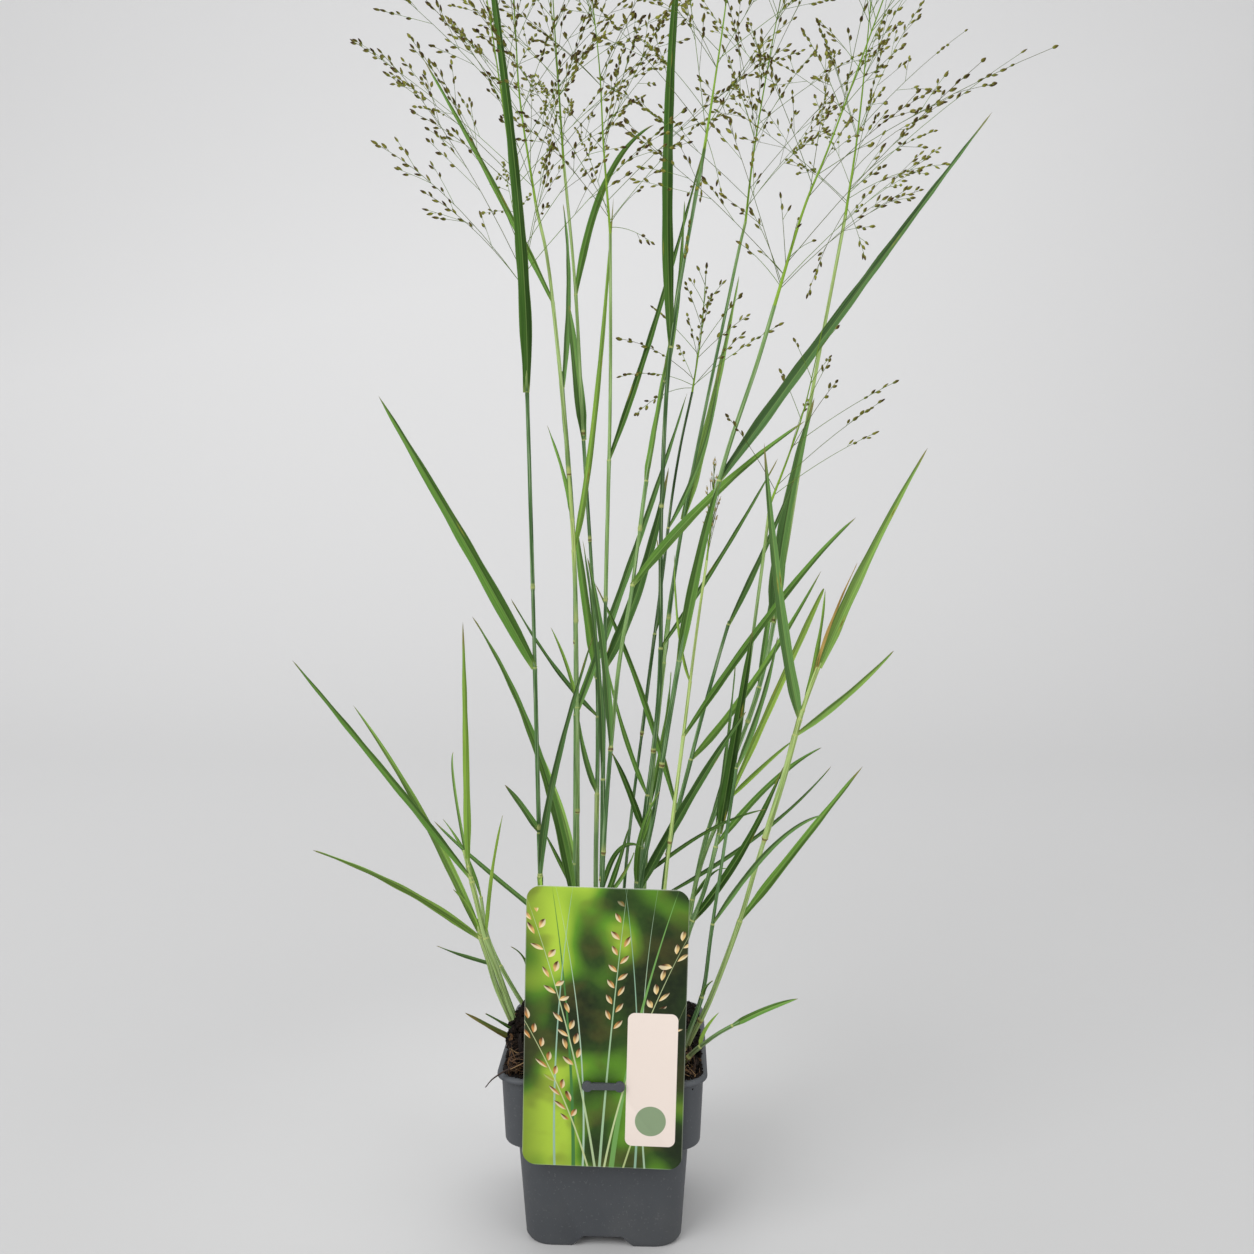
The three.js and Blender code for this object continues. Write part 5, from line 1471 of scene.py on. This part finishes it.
def finerBranches(spray, random):
    for at, tip in spray["arches"]:
        root, _ = branchRoot(spray, at)
        reach = np.array(tip, float) - root
        length = math.hypot(*reach)
        yield arc(root, root + reach * 0.5 + (0, 0, 0.16 * length), tip), length
    turn = random() * fullTurn
    for at in sprayShape["between"]:
        for n in range(spray["perWhorl"]):
            turn += 2.1 + random() * 0.8
            root, axis = branchRoot(spray, min(0.97, at + 0.012 * n))
            lean = spray["spread"] * (0.45 + 0.45 * random()) * (1 - 0.3 * at)
            length = max(8, spray["reach"] * (0.9 - 0.68 * at) * (0.6 + 0.4 * random()))
            droop = (0, 0, 0.05 + 0.2 * random() * (1 - at))
            heading = unit(axis * math.cos(lean) + level(turn) * math.sin(lean))
            while not inBox(root + (heading - droop) * length) and length > 8:
                length *= 0.88
            tip = root + (heading - droop) * length
            if inBox(tip):
                yield arc(root, root + heading * length * 0.55 + (0, 0, 0.03 * length), tip), length


def seatSpikelets(line, start, random, seats, stalks):  # a loose row, to each side by turns, and one at the tip
    shape = sprayShape
    count = int((line.length * (1 - start) - shape["spikelet"]) / shape["seatStep"])
    side, back = crossFrame(line.heading(0.8))
    plane = random() * fullTurn
    for n in range(count):
        share = float(line.even(start + (1 - start) * (n + 0.6 * random()) / (count + 1)))
        root, heading = line.at(share), line.heading(share)
        turn = plane + n * math.pi + (random() - 0.5) * 1.4
        outward = side * math.cos(turn) + back * math.sin(turn)
        toward = unit(heading + outward * (0.35 + 0.4 * random()))
        end = root + toward * (0.4 + 1.1 * random() ** 2)
        if inBox(end):
            radius = shape["stalkRadius"]
            stalks.append((arc(root, (root + end) / 2 + outward * 0.1, end), radius, radius, 1))
            seats.append((end, unit(toward * 2 + heading * 0.6 + (0, 0, -0.3 * random())), random()))
    seats.append((line.at(1.0) - line.heading(1.0) * shape["spikelet"] * 1.15, line.heading(1.0), random()))


def twigsOf(line, length, owner, random):
    shape = sprayShape
    count = int(length * 0.6 / shape["twigStep"])
    side, back = crossFrame(line.heading(0.5))
    plane = random() * halfTurn
    for n in range(count):
        share = float(line.even(0.3 + 0.55 * (n + random() * 0.7) / count))
        root, heading = line.at(share), line.heading(share)
        turn = plane + n * halfTurn + (random() - 0.5) * 1.6
        outward = side * math.cos(turn) + back * math.sin(turn)
        reach = length * (0.36 - 0.22 * share) * (0.55 + 0.6 * random())
        if reach < shape["shortestTwig"]:
            continue
        lean = 0.3 + 0.35 * random()
        toward = unit(heading * math.cos(lean) + outward * math.sin(lean))
        tip = root + toward * reach + heading * reach * 0.1 - (0, 0, (0.02 + 0.14 * random()) * reach)
        if inBox(tip) and isClear([tip], owner, 1.6):
            yield arc(root, root + toward * reach * 0.5, tip)


def sprayAxis(stem, random):  # starts at the stem's tip, so that no gap shows
    shares = np.linspace(0, 1, clump["culmRings"])
    radii = stem["radius"] * sprayShape["axisRadius"] * (1 - shares ** 0.75) + sprayShape["axisTip"] * shares
    line = spline([stem["path"][-1], *stem["spray"]["path"]])
    return layRod(culmBlank, line, shares, radii, tone=0.62 + 0.3 * random() - 0.3 * shares, chance=random())


def laySpikelet(place, heading, long, wide):
    points, faces = spikeletBlank
    side, back = crossFrame(heading)
    x, y, z = points[:, :1], points[:, 1:2], points[:, 2:]
    placed = place + (side * x * wide + back * y * wide * 0.8 + heading * z * long)
    return {"points": placed, "faces": faces, "lay": np.hstack([x * wide, z * long, z]), "finish": 1}


def growSpray(stem):
    spray, shape = stem["spray"], sprayShape
    random = seededRandom(spray["seed"] + 500)
    seats, branches, stalks = [], [], []  # branches and stalks: line, radii at both ends, and the share that is kept
    twigRadius = shape["twigRadius"]
    for line, length in list(mainBranches(spray)) + list(finerBranches(spray, random)):
        branches.append((line, shape["branchRadius"], twigRadius, 1 - 1.5 / line.length))
        seatSpikelets(line, 0.52 + spray["bare"] + 0.2 * random(), random, seats, stalks)
        for twig in twigsOf(line, 0 if spray["bare"] else length, spray["owner"], random):
            branches.append((twig, twigRadius * 1.15, twigRadius * 0.8, 1 - 1.5 / twig.length))
            seatSpikelets(twig, 0.3 + 0.2 * random(), random, seats, stalks)
    parts = [sprayAxis(stem, random)]
    for (blank, steps), lines in zip(sprayRods, (branches, stalks)):
        for line, first, last, end in lines:
            tone = 0.2 + 0.4 * random() - 0.3 * steps * random()
            parts.append(layRod(blank, line, steps * end, first + (last - first) * steps, tone=tone, chance=random()))
    ripeness = random() * 0.3
    for place, heading, chance in seats:
        long = shape["spikelet"] * spray["size"] * (0.72 + 0.4 * chance)
        wide = shape["spikeletHalf"] * spray["size"] * (0.75 + 0.45 * random())
        parts.append(laySpikelet(place, heading, long, wide) | {
            "chance": chance, "tone": ripeness + 0.7 * random(), "dry": spray["pale"]})
    return weave("seed_spray_" + stem["name"], parts, [sprayGreen, spikeletBrown], 60), len(seats)


def branchFinish():
    finish = Finish("spray branch", Roughness=0.6, Specular_IOR_Level=0.15)
    _, along, _ = finish.lay()
    tone, chance = finish.marks("tone", "chance")
    cloud = finish.noise(finish.vector(along * 0.09, chance * 50, 0))
    body = finish.ramp(
        tone + (cloud - 0.5) * 0.4, (0.05, 76, 72, 24), (0.3, 82, 102, 30), (0.6, 104, 136, 38), (1, 146, 182, 68))
    return finish.paint(Base_Color=body, Normal=finish.bump(cloud, 0.00005))


def spikeletFinish():
    finish = Finish("spikelet", Specular_IOR_Level=0.1)
    fade = finish.fade
    around, along, share = finish.lay()
    tone, chance, pale = finish.marks("tone", "chance", "dry")
    veins = finish.noise(finish.vector(around * 4, along * 0.4, chance * 90))
    body = finish.coat(
        finish.ramp(tone, (0, 140, 142, 50), (0.4, 106, 98, 42), (0.75, 70, 54, 30), (1, 62, 42, 26)),
        (fade(share + (veins - 0.5) * 0.3, 0.5, 0.1) * 0.6, 140, 152, 62), (fade(around, 0.1, 0.5) * 0.3, 158, 148, 76),
        (fade(share, 0.6, 0.95) * 0.75, 44, 32, 22), (fade(veins, 0.5, 0.62) * 0.6, 40, 32, 18),
        (pale * 0.8, 180, 160, 112))
    return finish.paint(Base_Color=body, Roughness=0.5 + veins * 0.15, Normal=finish.bump(veins, 0.00012))


sprayGreen, spikeletBrown = branchFinish(), spikeletFinish()
sprayRods = [(rodBlank(sprayShape["branchSides"], rings), np.linspace(0, 1, rings))
             for rings in (sprayShape["branchRings"], sprayShape["stalkRings"])]
spikeletBlank = turnedBlank(sprayShape["profileSides"], sprayShape["profile"])
seatCount = 0
for stem in stems:
    if "spray" in stem:
        piece, seats = growSpray(stem)
        dress(piece, "spray", "spray_" + stem["name"])
        seatCount += seats
print("sprays:", seatCount, "spikelets")

deselect()
